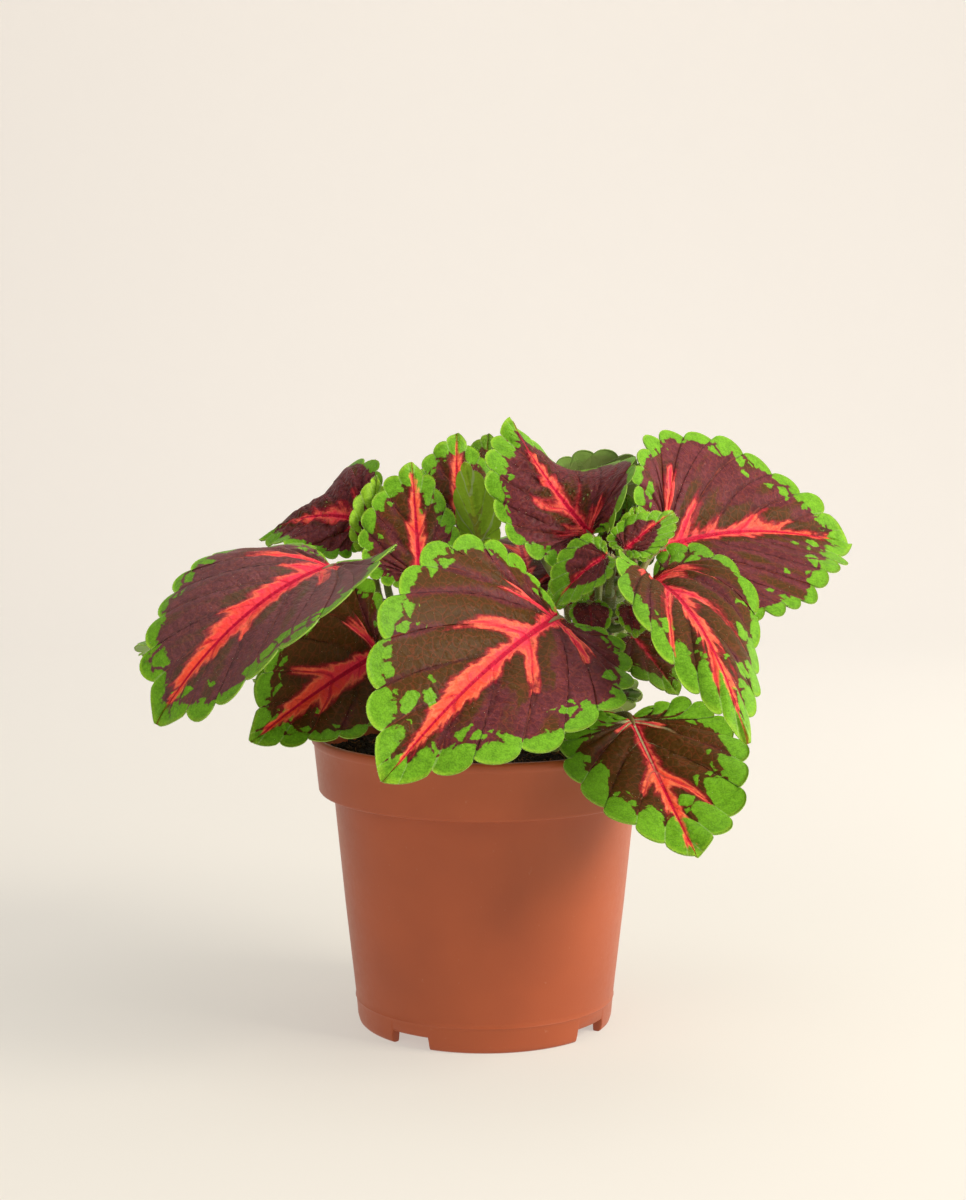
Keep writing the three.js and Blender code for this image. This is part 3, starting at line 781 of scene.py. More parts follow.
BROAD = Look(
    flame=4.8, left=(0.55, 0.1, 0.6, 0.12, 0.3, 0.1), right=(0.5, 0.08, 0.66, 0.1, 0.3, 0.15), start=0.3,
    pink=0.45, green=5.0, blobs=8.0, olive=0.6, lean=-0.35,
)
# Hanging leaves, with a pale lilac sheen painted over the field
HANGING = Look(
    flame=5.0, left=(0.25, 0.4, 0.1, 0.4, 0.2), right=(0.7, 0.35, 0.15, 0.45, 0.3), start=0.1, pink=0.8,
    green=3.4, blobs=6.5, olive=0.2, painted_sheen=0.07,
)
SHADED = Look(
    flame=6.0, left=(0.45, 0.2, 0.65, 0.3, 0.4), right=(0.55, 0.2, 0.7, 0.3, 0.4), start=0.05, pink=0.6,
    green=4.8, blobs=7.5, olive=1.4,
)
CRUMPLED = Look(
    flame=2.4, left=(0.3, 0.3, 0.4, 0.3), right=(0.4, 0.3, 0.4, 0.3), start=0.0, end=0.7, pink=0.9,
    green=5.5, blobs=2.0, olive=0.2, pucker=1.0,
)
UPRIGHT = Look(
    flame=3.4, left=(0.0, 0.0, 0.12, 0.0), right=(0.0, 0.0, 0.12, 0.0), start=0.0, pink=0.15,
    green=6.5, blobs=5.0, olive=0.9,
)
PALE = Look(flame=0.0, green=14.0, blobs=9.0, olive=0.5, fresh=1.0)
TOP = Look(
    flame=2.6, left=(0.45, 0.3, 0.6, 0.3, 0.3), right=(0.5, 0.3, 0.6, 0.3, 0.3), start=0.0, end=0.75, pink=1.0,
    green=6.0, blobs=3.0, olive=0.25, pucker=0.9,
)
SPREAD = Look(
    flame=2.6, left=(0.6, 0.15, 0.6, 0.35, 0.55, 0.4), right=(0.5, 0.1, 0.3, 0.1, 0.2), start=0.2, pink=0.9,
    green=5.4, blobs=7.5, olive=0.3,
)
ARCHED = Look(
    flame=2.4, left=(0.55, 0.35, 0.8, 0.35, 0.7, 0.4), right=(0.55, 0.35, 0.8, 0.35, 0.7, 0.4), start=0.1,
    end=0.8, pink=0.6, green=5.5, blobs=5.5, olive=1.1,
)
LOW = Look(
    flame=4.6, left=(0.25, 0.0, 0.7, 0.2, 0.7, 0.4), right=(0.25, 0.0, 0.55, 0.2, 0.75, 0.4), start=0.4,
    end=0.84, pink=0.2, green=15.0, blobs=5.0, olive=1.8, pale_veins=1.0,
)
# Leaves that sit in shade, darkened all over by painted shade
DARK = Look(
    flame=0.2, left=(0.1,), right=(0.1,), start=0.0, end=0.5, pink=0.6, green=6.0, blobs=2.0, bays=0.5,
    olive=1.4, painted_shade=0.4,
)
YOUNG = Look(
    flame=0.9, left=(0.1,), right=(0.1,), start=0.0, end=0.85, pink=0.9, green=8.0, blobs=0.0, olive=0.0,
    bays=0.12, fresh=0.4,
)
BUD = Look(flame=0.0, green=3.5, blobs=1.0, olive=0.1, fresh=0.4)

LEAVES = (
    Leaf("leaf_front_broad", MAIN, 124, (24, -38, 147), -120, -8, -30, 97, teeth=10, look=BROAD,
         width=(0.88, 0.93), droop=42, sway=2, fold=(10, 20), arch=(12, 0)),
    Leaf("leaf_left_long", LEFT, 142, (-51, -19, 162), -128, -5, -32, 87, teeth=11, look=HANGING,
         width=(1.03, 0.96), droop=72, sway=5, lobe=(20, -10), fold=(20, 4), arch=(-22, 43)),
    Leaf("leaf_left_low", LEFT, 118, (-35.6, -9, 130.8), -134, -16, -60, 62, teeth=9, look=SHADED,
         width=(0.81, 1.2), droop=8, sway=10, lobe=(0, 8), fold=(14, 34), arch=(-27, 1), wave=0.8),
    Leaf("leaf_left_crumpled", LEFT, 146, (-42, 15, 173.5), 176, 17, -25, 43, teeth=9, look=CRUMPLED,
         width=(0.9, 1.35), droop=66, sway=-6, lobe=(-39, 85), fold=(3, -9), arch=(13, 34), wave=1.2),
    Leaf("leaf_left_curled", LEFT, 143, (-38, 1.9, 164.3), 85, 74, 10, 27, teeth=7, look=PALE,
         width=(0.8, 0.45), fold=(30, 20), arch=(10, -10), wave=0.8),
    Leaf("leaf_upright_left", LEFT, 147, (-22, -12, 156.4), 98, 60, 0, 45, teeth=9, look=UPRIGHT,
         width=(0.95, 0.7), droop=5, fold=(0, 0), arch=(8, 8), wave=0.6),
    Leaf("leaf_upright_back", BACK, 161, (-9, 23, 172), 100, 65, 3, 35, teeth=8, look=UPRIGHT,
         width=(0.96, 0.96), droop=8, sway=-7, fold=(7, 4), arch=(15, 16), wave=0.6),
    Leaf("leaf_pale_folded", BACK, 162, (-1.5, 12, 166), -120, 70, 0, 31, teeth=6, look=PALE,
         width=(0.6, 0.6), droop=0, fold=(30, 10), wave=0.4),
    Leaf("leaf_top_dark", BACK, 164, (0, 43, 180), 85, 60, 0, 26, teeth=7, look=DARK,
         width=(0.9, 0.9), wave=0.5),
    Leaf("leaf_top_centre", MAIN, 144, (36.5, -7, 171), 171, 47, -38, 50, teeth=10, look=TOP,
         width=(1.07, 1.22), droop=21, sway=-41, lobe=(-12, 135), fold=(3, -41), arch=(18, 1)),
    Leaf("leaf_top_pale", MAIN, 138, (22, 33, 179), 20, 5, 0, 48, teeth=9, look=DARK,
         width=(1, 1), droop=20, fold=(10, 50), arch=(10, -10)),
    Leaf("leaf_right_back", MAIN, 132, (60, 5.5, 164.5), 39, 13, 40, 85, teeth=12, look=SPREAD,
         width=(1.05, 1.1), droop=16, sway=-30, lobe=(25, -10), fold=(25, 16), arch=(30, 9)),
    Leaf("leaf_right_front", MAIN, 141, (55, -27, 157.5), -74, 4.5, 5, 93, teeth=10, look=ARCHED,
         width=(0.64, 0.46), droop=65, lobe=(82, 62), fold=(-36, -6), arch=(47, 46), wave=0.8),
    Leaf("leaf_right_low", MAIN, 108, (49, -30, 112), -68, -38, 8, 68, teeth=9, look=LOW,
         width=(0.99, 0.99), droop=-16, sway=-6, fold=(8, 7), arch=(0, -6), wave=0.8),
    Leaf("leaf_right_shaded", MAIN, 124, (50, -17, 138), -50, -35, 15, 28, teeth=7, look=DARK,
         wave=0.6),
    Leaf("leaf_inner_right", MAIN, 136, (35, -26, 150), -85, -45, 0, 16, teeth=6, look=BUD,
         droop=15, wave=0.3),
    Leaf("leaf_inner_left", LEFT, 124, (-13, -23, 143), 185, 5, -30, 20, teeth=7, look=BUD,
         wave=0.3),
    Leaf("tip_leaf_right", MAIN, 153, (47, -18, 166.5), 33, 38, 24, 26, teeth=9, look=YOUNG,
         width=(0.86, 0.9), droop=24, sway=3, fold=(8, 12), arch=(11, 12), wave=0.4),
    Leaf("tip_leaf_left", MAIN, 153, (41, -25, 166), -177, -28, -28, 26, teeth=8, look=YOUNG,
         width=(1, 1), droop=38, sway=4, fold=(10, 23), arch=(18, -5), wave=0.4),
    Leaf("tip_leaf_front", MAIN, 157, (47.3, -29.2, 161.6), -98, 5, -10, 6, teeth=5, look=BUD,
         droop=20, arch=(5, 5), wave=0.2),
    Leaf("leaf_back_far_left", LEFT, 126, (-55.3, 28.2, 140), 147, -4, -5, 92.5, teeth=9, look=HANGING,
         droop=22, arch=(20, 20), wave=1.2),
    Leaf("leaf_back_left", BACK, 140, (-24, 48, 140), 112, -2, 0, 66, teeth=9, look=BROAD,
         droop=35, arch=(20, 20), wave=1.2),
    Leaf("leaf_back_centre", BACK, 138, (16, 38, 146), 95, 35, 0, 60, teeth=9, look=SPREAD,
         droop=45, arch=(20, 20), wave=1.2),
    Leaf("leaf_back_right", MAIN, 122, (56, 26, 140), 72, -8, 0, 76, teeth=9, look=HANGING,
         droop=35, arch=(20, 20), wave=1.2),
    Leaf("leaf_back_low_right", MAIN, 106, (30, 34, 116), 70, -15, 0, 50, teeth=8, look=SHADED,
         droop=45, arch=(15, 15)),
    Leaf("leaf_back_low_left", BACK, 112, (-12, 44, 122), 110, -20, 0, 64, teeth=8, look=LOW,
         droop=25, arch=(15, 15)),
    Leaf("leaf_left_hidden", LEFT, 112, (-44, 12, 124), 184, 0, -15, 38, teeth=8, look=SHADED,
         droop=20, wave=0.8),
)


def side_leaf(
    name: str, stem: Stem, node: float, joint: Point, heading: float, pitch: float, length: float, look: Look,
    width: float = 0.9, wave: float = 0.4,
) -> Leaf:
    """Makes a young leaf of a side shoot, level from side to side.

    Args:
        name: its short name.
        stem, node, joint, heading, pitch, length, look: as in Leaf.
        width: width of both halves against OUTLINE.
        wave: height of the margin's waves, in mm.

    Returns:
        The leaf.
    """
    return Leaf(
        "side_leaf_" + name, stem, node, joint, heading, pitch, 0, length, teeth=6, look=look,
        width=(width, width), droop=12, fold=(8, 8), wave=wave,
    )


# They fill the middle of the plant, behind the large leaves of LEAVES
SIDE_LEAVES = (
    side_leaf("right", MAIN, 127, (44, 2, 140), 80, 60, 26, DARK),
    side_leaf("middle", MAIN, 131, (26, -6, 134), 150, 55, 22, YOUNG),
    side_leaf("tip", MAIN, 146, (48, -29, 150), -75, -45, 13, BUD),
    side_leaf("low", MAIN, 116, (34, -20, 118), -60, 10, 30, DARK),
    side_leaf("behind", MAIN, 149, (51, -9, 163), 88, 70, 19, YOUNG, 0.85, 0.3),
    side_leaf("far", BACK, 120, (50, 18, 158), 88, 62, 28, DARK, 0.85, 0.3),
    side_leaf("inner", MAIN, 127, (28, -12, 147), 100, 62, 16, YOUNG, 0.85, 0.3),
    side_leaf("left", LEFT, 130, (-14, -8, 134), -20, 35, 22, DARK),
)

VEIN_FAN = 0.56
VEIN_FAN_REACH = 0.03
VEIN_LAG = 1.15
VEIN_CURVE = 0.4
BASAL_SHARE = 0.5
LOBE_START, LOBE_END = 0.25, 0.5
LOBE_REACH = 0.75
LOBE_ANGLE = math.radians(60)


def vein_foot(share: Array) -> Array:
    """Where the vein to a place on the margin leaves the midrib: a fan near the stalk, then lagging behind."""
    onward = np.clip((share - VEIN_FAN) / (1 - VEIN_FAN), 0, 1)
    return VEIN_FAN_REACH * np.minimum(share / VEIN_FAN, 1) + (1 - VEIN_FAN_REACH) * onward**VEIN_LAG


class LeafNodes(Nodes):
    """The tree of a leaf's material, with the layers and noises that all parts of its pattern read."""

    def __init__(self, name: str, seed: float) -> None:
        """Sets up 0.5 mm grain, 1.2 mm specks, 3 mm lobes, 20 mm clouds, and streaks along the veins.

        Args:
            name: the material's name.
            seed: shifts every noise.
        """
        super().__init__(name)
        self.moved = self.add("Mapping", {"Vector": self.place(), "Location": (seed, seed * 0.7, 0.0)})
        self.fibre = self.layer("fibre", "Vector")
        self.rib, self.side, self.notch, self.edge, self.along, self.reach = (
            self.layer(name) for name in ("rib", "side", "notch", "edge", "along", "reach")
        )
        self.grain = self.noise(self.moved, 2000.0)
        self.speck = self.noise(self.moved, 800.0, 3.0, 0.6)
        self.lobes = self.noise(self.moved, 300.0, 1.5)
        self.cloud = self.noise(self.moved, 45.0)
        self.streak = self.noise(self.fibre, 0.55, 3.0, 0.62)
        self.net = self.gaps(self.swirl(self.moved, self.lobes), 330.0)


@dataclass(frozen=True)
class LeafFinish:
    """Coleus leaf tissue: a soft, downy skin over a three-coloured pattern.

    The down gives a lilac sheen at low angles and keeps highlights broad. The pattern is a coral flame
    along the veins, a maroon and olive field, and a green margin that the dark veins cut into. Painted shade
    darkens the furrows of the side veins and the leaves that sit in shade, and a lilac sheen is painted
    over the field of some leaves.

    Attributes:
        look: the leaf's pattern.
        seed: shifts every noise, so that no two leaves match.
        size: 1 for the largest leaf, and less on small ones, whose patterns are finer.
    """

    look: Look
    seed: float
    size: float = 1.0
    crimson: str = "#b80a34"
    pink: str = "#f03a52"
    coral: str = "#f9573f"
    orange: str = "#ff835a"
    maroon: str = "#582329"
    plum: str = "#6a3037"
    olive: str = "#4c310d"
    # Dark brown for the halo round the flame, and for painted shade in the vein furrows and on leaves in shade
    shade: str = "#2a1005"
    vein: str = "#8a3c28"
    leaf_green: str = "#63a31e"
    deep_green: str = "#427f10"
    lime: str = "#a0c634"
    pale_green: str = "#b7c795"
    underside: str = "#93ad74"
    # Pale dust specks; the same colour is painted over the field of some leaves as a sheen
    dust: str = "#c8b0b0"
    sheen: str = "#e6c4d0"

    def flame_depth(self, nodes: LeafNodes) -> Socket:
        """Finds how deep a place lies in the flame, whose edge has teeth that point along the veins.

        Args:
            nodes: the leaf's tree.

        Returns:
            The depth in mm.
        """
        spike = nodes.noise(nodes.fibre, 0.24, 1.0)
        teeth = (spike, 6.5), (nodes.streak, 3.2), (nodes.speck, 1.0), (nodes.lobes, 1.8)
        return nodes.swing(nodes.layer("coral"), *((noise, amount * self.size) for noise, amount in teeth))

    def green_depth(self, nodes: LeafNodes) -> Socket:
        """Finds how deep a place lies in the green: rounded lobes, loose cells inside them, and cuts at dark veins.

        Args:
            nodes: the leaf's tree.

        Returns:
            The depth in mm.
        """
        look, size = self.look, self.size
        green = nodes.layer("green")
        wide = size * (0.3 + 0.7 * look.bays)
        depth = nodes.swing(green, (nodes.lobes, 5.0 * wide), (nodes.streak, 2.5 * wide), (nodes.speck, 1.4 * wide))
        wander, scale = nodes.swirl(nodes.moved, nodes.noise(nodes.moved, 500.0)), 165.0 / size
        colour = nodes.add("TexVoronoi", {"Vector": wander, "Scale": scale}, "Color")
        chance = nodes.add("SeparateColor", {"Color": colour}, "Red")
        loose = nodes.plus(green, nodes.less(chance, 0.3), 1.9 * look.blobs * size)
        loose = nodes.math("MINIMUM", loose, nodes.times(nodes.less(nodes.gaps(wander, scale), 0.1), 14.0))
        depth = nodes.math("MAXIMUM", depth, nodes.swing(loose, (nodes.speck, 2.0 * size)))
        narrow = nodes.plus(0.2 * size, nodes.edge, 0.2)
        finger = nodes.less(1.0, nodes.math("DIVIDE", nodes.notch, narrow), clamp=True)
        return nodes.plus(depth, nodes.times(finger, nodes.layer("cut")), -3.0 * size)

    def ground(self, nodes: LeafNodes, flame: Socket) -> Socket:
        """Colours the ground between flame and green, more olive-brown towards the tip and between the veins,
        with painted shade in the sunk furrows of the side veins and, on some leaves, a painted lilac sheen.

        Args:
            nodes: the leaf's tree.
            flame: depth inside the flame.

        Returns:
            The colour.
        """
        look, size, step = self.look, self.size, nodes.step
        level = nodes.swing(nodes.plus(look.olive - 1.3, nodes.along, 0.6), (nodes.cloud, 2.4))
        level = nodes.plus(level, step(flame, -8.0 * size, -1.0), 0.7)
        level = nodes.plus(level, nodes.layer("half"), look.lean)
        level = nodes.plus(level, nodes.math("MINIMUM", nodes.side, 5.0), 0.22)
        mottle = nodes.swing(nodes.cloud, (nodes.speck, 0.9), (nodes.lobes, 1.2))
        return nodes.coat(
            linear(self.maroon),
            (step(mottle, 0.2, 0.8), 1.0, self.plum),
            (step(nodes.swing(level, (nodes.speck, 0.8)), 0.0, 0.6), 1.0, self.olive),
            (step(flame, -5.0, 0.0), 0.4, self.shade),
            (step(flame, -1.8, 0.2), 0.7, self.crimson),
            (step(nodes.net, 0.1, 0.0), 0.3, self.vein),
            # Painted shade: darker in the sunk furrows along the side veins
            (step(nodes.side, 1.6, 0.3), 0.4 * size, self.shade),
            (step(nodes.side, 0.4, 0.1), 0.55 * size, self.vein),
            # Painted sheen: pale lilac laid flat over the field, in the colour of the dust specks
            (look.painted_sheen, 1.0, self.dust),
        )

    def flame(self, nodes: LeafNodes, depth: Socket) -> Socket:
        """Colours the flame pink-red at the stalk and coral further out, with orange edges and red veins.

        Args:
            nodes: the leaf's tree.
            depth: depth inside it.

        Returns:
            The colour.
        """
        pink, size, step = self.look.pink, self.size, nodes.step
        warm = nodes.swing(nodes.along, (nodes.cloud, 0.5), (nodes.lobes, 0.5))
        core = nodes.plus(nodes.rib, nodes.along, 4.5 * size)
        return nodes.coat(
            linear(self.pink),
            (step(warm, 0.05 + 0.2 * pink, 0.35 + 0.5 * pink), 1.0, self.coral),
            (step(nodes.swing(depth, (nodes.streak, 2.0)), 1.8, 0.1), 1.0 - 0.4 * pink, self.orange),
            (step(core, 3.8 * size, size), 0.85, self.pink),
            (step(nodes.side, 0.8, 0.1), 0.75, self.crimson),
        )

    def green(self, nodes: LeafNodes, depth: Socket) -> Socket:
        """Colours the green, lime along the rim, with pale veins.

        Args:
            nodes: the leaf's tree.
            depth: depth inside it.

        Returns:
            The colour.
        """
        step = nodes.step
        tone = nodes.swing(nodes.lobes, (nodes.grain, 0.4), (nodes.speck, 0.5))
        return nodes.coat(
            linear(self.deep_green),
            (step(tone, 0.0, 0.8), 1.0, self.leaf_green),
            (step(depth, 1.2, 0.0), 0.45, self.deep_green),
            (step(nodes.swing(nodes.edge, (nodes.lobes, 0.8)), 1.0, 0.0), 0.45, self.lime),
            (0.5, self.look.fresh, self.lime),
            (step(nodes.math("MINIMUM", nodes.side, nodes.notch), 0.35, 0.1), 0.2, self.pale_green),
        )

    def top(self, nodes: LeafNodes) -> Socket:
        """Colours the upper face: ground, green and flame, then the midrib, pale veins, grain and down, and on
        leaves that sit in shade a painted shade over all.

        Args:
            nodes: the leaf's tree.

        Returns:
            The colour.
        """
        look, size, step = self.look, self.size, nodes.step
        flame, green = self.flame_depth(nodes), self.green_depth(nodes)
        top = nodes.mix(step(green, -0.2, 0.3), self.ground(nodes, flame), self.green(nodes, green))
        top = nodes.mix(step(flame, -0.6, 0.9), top, self.flame(nodes, flame))
        width = nodes.plus(1.05 * size, nodes.along, -0.95 * size)
        rib = nodes.times(step(nodes.less(nodes.rib, width), 0.3, -0.15), step(width, -0.1, 0.3))
        near = step(nodes.math("MAXIMUM", nodes.along, nodes.reach), 0.5, 0.1)
        veins = nodes.times(step(nodes.math("MINIMUM", nodes.rib, nodes.side), 0.5, 0.15), near)
        top = nodes.coat(
            top, (rib, min(1.0, 0.2 + look.flame), self.crimson), (veins, 0.8 * look.pale_veins, self.pale_green)
        )
        grain = step(nodes.swing(nodes.grain, (nodes.speck, 0.6)), 0.3, 0.7)
        top = nodes.mix(0.3, top, nodes.mix(grain, GREY_DARK, GREY_LIGHT), "OVERLAY")
        # Painted shade: the leaves that sit in shade are darkened all over
        return nodes.coat(top, (step(nodes.speck, 0.7, 0.78), 0.3, self.dust), (look.painted_shade, 1.0, self.shade))

    def relief(self, nodes: LeafNodes) -> Socket:
        """Sets up the fine relief: quilting between the finest veins, sunk side veins, wrinkles and grain.

        Args:
            nodes: the leaf's tree.

        Returns:
            The bent normal.
        """
        cell = {"Vector": nodes.moved, "Scale": 420.0, "Smoothness": 0.7}
        cells = nodes.add("TexVoronoi", cell, feature="SMOOTH_F1")
        height = nodes.plus(nodes.times(nodes.noise(nodes.moved, 2600.0), 0.3), cells, -0.6)
        height = nodes.plus(height, nodes.step(nodes.side, 0.0, 1.5), 1.1 * self.size)
        height = nodes.plus(height, nodes.step(nodes.net, 0.0, 0.12), 0.15)
        height = nodes.plus(height, nodes.step(nodes.rib, 0.0, 1.2), 0.8)
        phase = nodes.plus(nodes.times(nodes.along, 120.0 * self.size), nodes.lobes, 16.0)
        ripple = nodes.times(nodes.math("SINE", phase), nodes.less(1.0, nodes.reach, clamp=True))
        return nodes.bump(nodes.plus(height, ripple, 2.2 * self.look.pucker), 0.6, 0.3 * MILLIMETRE)

    def material(self, name: str) -> bpy.types.Material:
        """Builds the node tree; the underside is pale, with the upper face's pattern showing faintly through.

        Args:
            name: the material's name.

        Returns:
            The material.
        """
        nodes = LeafNodes(name, self.seed)
        fresh = self.look.fresh
        top = self.top(nodes)
        pale = nodes.mix(fresh, linear(self.underside), linear(self.lime))
        below = nodes.mix(0.28 + 0.2 * fresh, pale, top)
        below = nodes.coat(below, (nodes.step(nodes.side, 0.6, 0.2), 0.5, self.pale_green))
        return nodes.close({
            "Base Color": nodes.mix(nodes.layer("under"), top, below),
            "Roughness": nodes.plus(0.4, nodes.speck, 0.15),
            "Normal": self.relief(nodes),
            "IOR": 1.4,
            "Specular IOR Level": 0.16,
            "Subsurface Weight": 0.1,
            "Subsurface Radius": (0.5, 0.9, 0.2),
            "Subsurface Scale": 0.8 * MILLIMETRE,
            "Sheen Weight": 0.03,
            "Sheen Roughness": 0.4,
            "Sheen Tint": linear(self.sheen),
        })


@dataclass(frozen=True)
class Places:
    """Where the points of a blade's grid lie among its notches and veins, in arrays of rows by columns.

    Attributes:
        share: way along the margin.
        reach: way from the midrib to the margin.
        sign: 1 in the left half, 0 on the midrib and -1 in the right half.
        along: place along the midrib, as a share of the length.
        across: signed distance from it, left positive, as a share of the length.
        number: number of the notch, as Leaf.scallop gives it.
        vein: number of the nearest side vein.
        sway: a random angle for each half.
        rib: distance to the midrib, in mm.
        side: distance to the nearest side vein, in mm.
        notch: distance to the line that runs in from the nearest notch, in mm.
        edge: distance to the margin, in mm.
    """

    share: Array
    reach: Array
    sign: Array
    along: Array
    across: Array
    number: Array
    vein: Array
    sway: Array
    rib: Array
    side: Array
    notch: Array
    edge: Array

    def pick(self, table: Array, number: Array) -> Array:
        """The value of each point's vein or scallop, from a table with a row for each half."""
        return table[(self.sign < 0).astype(int), np.clip(number, 0, table.shape[1] - 1).astype(int)]


class Blade:
    """The blade of one leaf: two faces over a vein-wise grid, joined by the rim, with its sizes in mm.

    A leaf of FULL_LENGTH or more has all its steps, and a shorter one has fewer.
    """

    SCALLOP_STEPS = 12
    REACH_STEPS = 19
    FULL_LENGTH = 60.0
    STAGGER = 0.02
    THICKNESS = 0.5
    KEEL = 0.7
    RIDGE = 0.3
    QUILT = 0.75
    WRINKLE = 1.2
    WRINKLE_PITCH = 4.2
    TROUGH = 0.5
    WIDEST_PACE = 40.0
    NO_FLAME = -9.0
    # Random values for the veins and scallops of both halves, and the places of the first ones among them
    TABLE = (2, 60)
    FIRST_VEIN, FIRST_SCALLOP = 30, 5

    def __init__(self, leaf: Leaf, seed: int) -> None:
        """Keeps the leaf and its seed.

        Args:
            leaf: its form and pattern.
            seed: the start of its random draws.
        """
        self.leaf = leaf
        self.draw = np.random.default_rng(seed)
        self.seed = seed
        self.size = leaf.fineness()

    def shares(self) -> Array:
        """Ways along the margin, closer together at the notches, without the two ends.

        Returns:
            The ways, from 0 to 1.
        """
        leaf = self.leaf
        steps = max(6, round(self.SCALLOP_STEPS * min(1.0, leaf.length / self.FULL_LENGTH)))
        inside = (1 - np.cos(np.pi * np.arange(steps) / steps)) / 2
        scallops = leaf.notch((np.arange(leaf.teeth - 1)[:, None] + inside).ravel())
        before = np.linspace(0, FIRST_NOTCH, 6)[1:-1]
        after = np.linspace(LAST_NOTCH, 1, steps + 1)[:-1]
        return np.concatenate([before, scallops, after])

    def reaches(self) -> Array:
        """Ways from the midrib to the margin, with a last narrow step for the rim's shading.

        Returns:
            The ways, from 0 to 1.
        """
        steps = max(9, round(self.REACH_STEPS * min(1.0, self.leaf.length / self.FULL_LENGTH)))
        inner = np.linspace(0, 0.97, steps) ** 0.92
        return np.append(inner, 1.0)

    def places(self) -> Places:
        """Lays the grid, whose rows run as Leaf.vein does.

        There is a vein to every notch in front, and to every second one behind. The distance to a vein
        is the pace to it, whole at the veins, times the width of one pace from the grid's own slopes.

        Returns:
            The places of its points, from the left margin to the right.
        """
        leaf, reach = self.leaf, self.reaches()
        s, r = np.meshgrid(self.shares(), np.concatenate([reach[:0:-1], -reach]), indexing="ij")
        v, sign = np.abs(r), np.sign(r)
        place = leaf.vein(s, v)
        along = place[..., 0] + self.STAGGER * sign * smooth(0, 0.1, v) * (1 - v) * np.sin(np.pi * vein_foot(s))
        width = np.where(r > 0, leaf.width[0], leaf.width[1])
        across = place[..., 1] * width * sign

        number = leaf.scallop(s)
        first = round(float(leaf.scallop(np.array(BASAL_SHARE))))
        pace = np.where(number > first, number - first, (number - first) / 2)
        sway = self.draw.uniform(0, 2 * np.pi, 2)[(r < 0).astype(int)]
        bent = pace + 0.06 * np.sin(2 * np.pi * v * 1.6 + sway + 2.1 * np.round(pace)) * np.sin(np.pi * v)
        vein = np.round(bent)
        flat = leaf.length * np.stack([along, across], axis=-1)
        down, out = np.gradient(flat, axis=0), np.gradient(flat, axis=1)
        turned = np.abs(down[..., 0] * out[..., 1] - down[..., 1] * out[..., 0])
        change = np.abs(np.gradient(pace, axis=0)) * np.linalg.norm(out, axis=-1)
        span = np.minimum(turned / np.maximum(change, 1e-9), self.WIDEST_PACE)
        notch = np.abs(number - np.round(number)) * span * np.where(number > first, 1.0, 0.5)

        margin = leaf.vein(s, np.ones_like(v))
        away = leaf.length * np.hypot(margin[..., 0] - along, (margin[..., 1] - place[..., 1]) * width)
        edge = np.minimum(away, (1 - v) * leaf.length * margin[..., 1] * width / np.maximum(0.35, 1 - s) ** 0.5)
        rib = np.abs(across) * leaf.length
        return Places(s, v, sign, along, across, number, vein, sway, rib, np.abs(bent - vein) * span, notch, edge)

    def flame(self, at: Places) -> Array:
        """Draws the flame: widest in the middle of the midrib, and thinning out along each side vein.

        Args:
            at: the grid's places.

        Returns:
            The depth inside it, in mm.
        """
        look, size, along = self.leaf.look, self.size, at.along
        rise = 0.35 + 0.65 * smooth(look.start - 0.1, look.start + 0.3, along)
        fall = np.clip((look.end - along) / (look.end - 0.45), 0, 1) ** 0.75
        rib = look.flame * size * rise * np.minimum(fall, 1) - np.where(along > look.end, 3.0, 0.0)
        extents = np.zeros(self.TABLE)
        for half, shares in enumerate((look.left, look.right)):
            extents[half, self.FIRST_VEIN : self.FIRST_VEIN + len(shares)] = shares
            extents[half, self.FIRST_VEIN - 1] = 0.4 * shares[0]
        extents = extents * self.draw.uniform(0.85, 1.15, self.TABLE)
        extent = at.pick(extents, at.vein + self.FIRST_VEIN)
        way = np.clip(at.reach / np.maximum(extent, 1e-3), 0, 1)
        taper = np.where(at.vein <= 0, 1.4 * np.sqrt(way + 0.1) * (1 - way) ** 0.6, (1 - way) ** 0.8)
        side = 0.58 * look.flame * size * taper - 0.8 * np.maximum(at.reach - extent, 0) * self.leaf.length
        side = np.where(extent > 0.01, side, self.NO_FLAME)
        web = 1.1 * size
        flame = web * np.logaddexp((rib - at.rib) / web, (side - at.side) / web)
        return flame if look.flame else np.full_like(flame, self.NO_FLAME)

    def green(self, at: Places) -> tuple[Array, Array]:
        """Draws the green, with a lobe of its own depth in each scallop.

        Args:
            at: the grid's places.

        Returns:
            The depth inside it, in mm, and how far the vein of the nearest notch cuts it, from 0 to 1.
        """
        look = self.leaf.look
        between = at.number - np.floor(at.number)
        depths = look.green * self.size * self.draw.uniform(0.7, 1.3, self.TABLE)
        lobe = at.pick(depths, np.floor(at.number) + self.FIRST_SCALLOP)
        lobe = lobe * (1 - look.bays * (0.85 - np.sin(np.pi * between))) * (0.3 + 0.7 * smooth(0.0, 0.3, at.share))
        cuts = look.bays * self.draw.uniform(0.0, 1.0, self.TABLE)
        return lobe - at.edge, at.pick(cuts, np.round(at.number) + self.FIRST_SCALLOP)

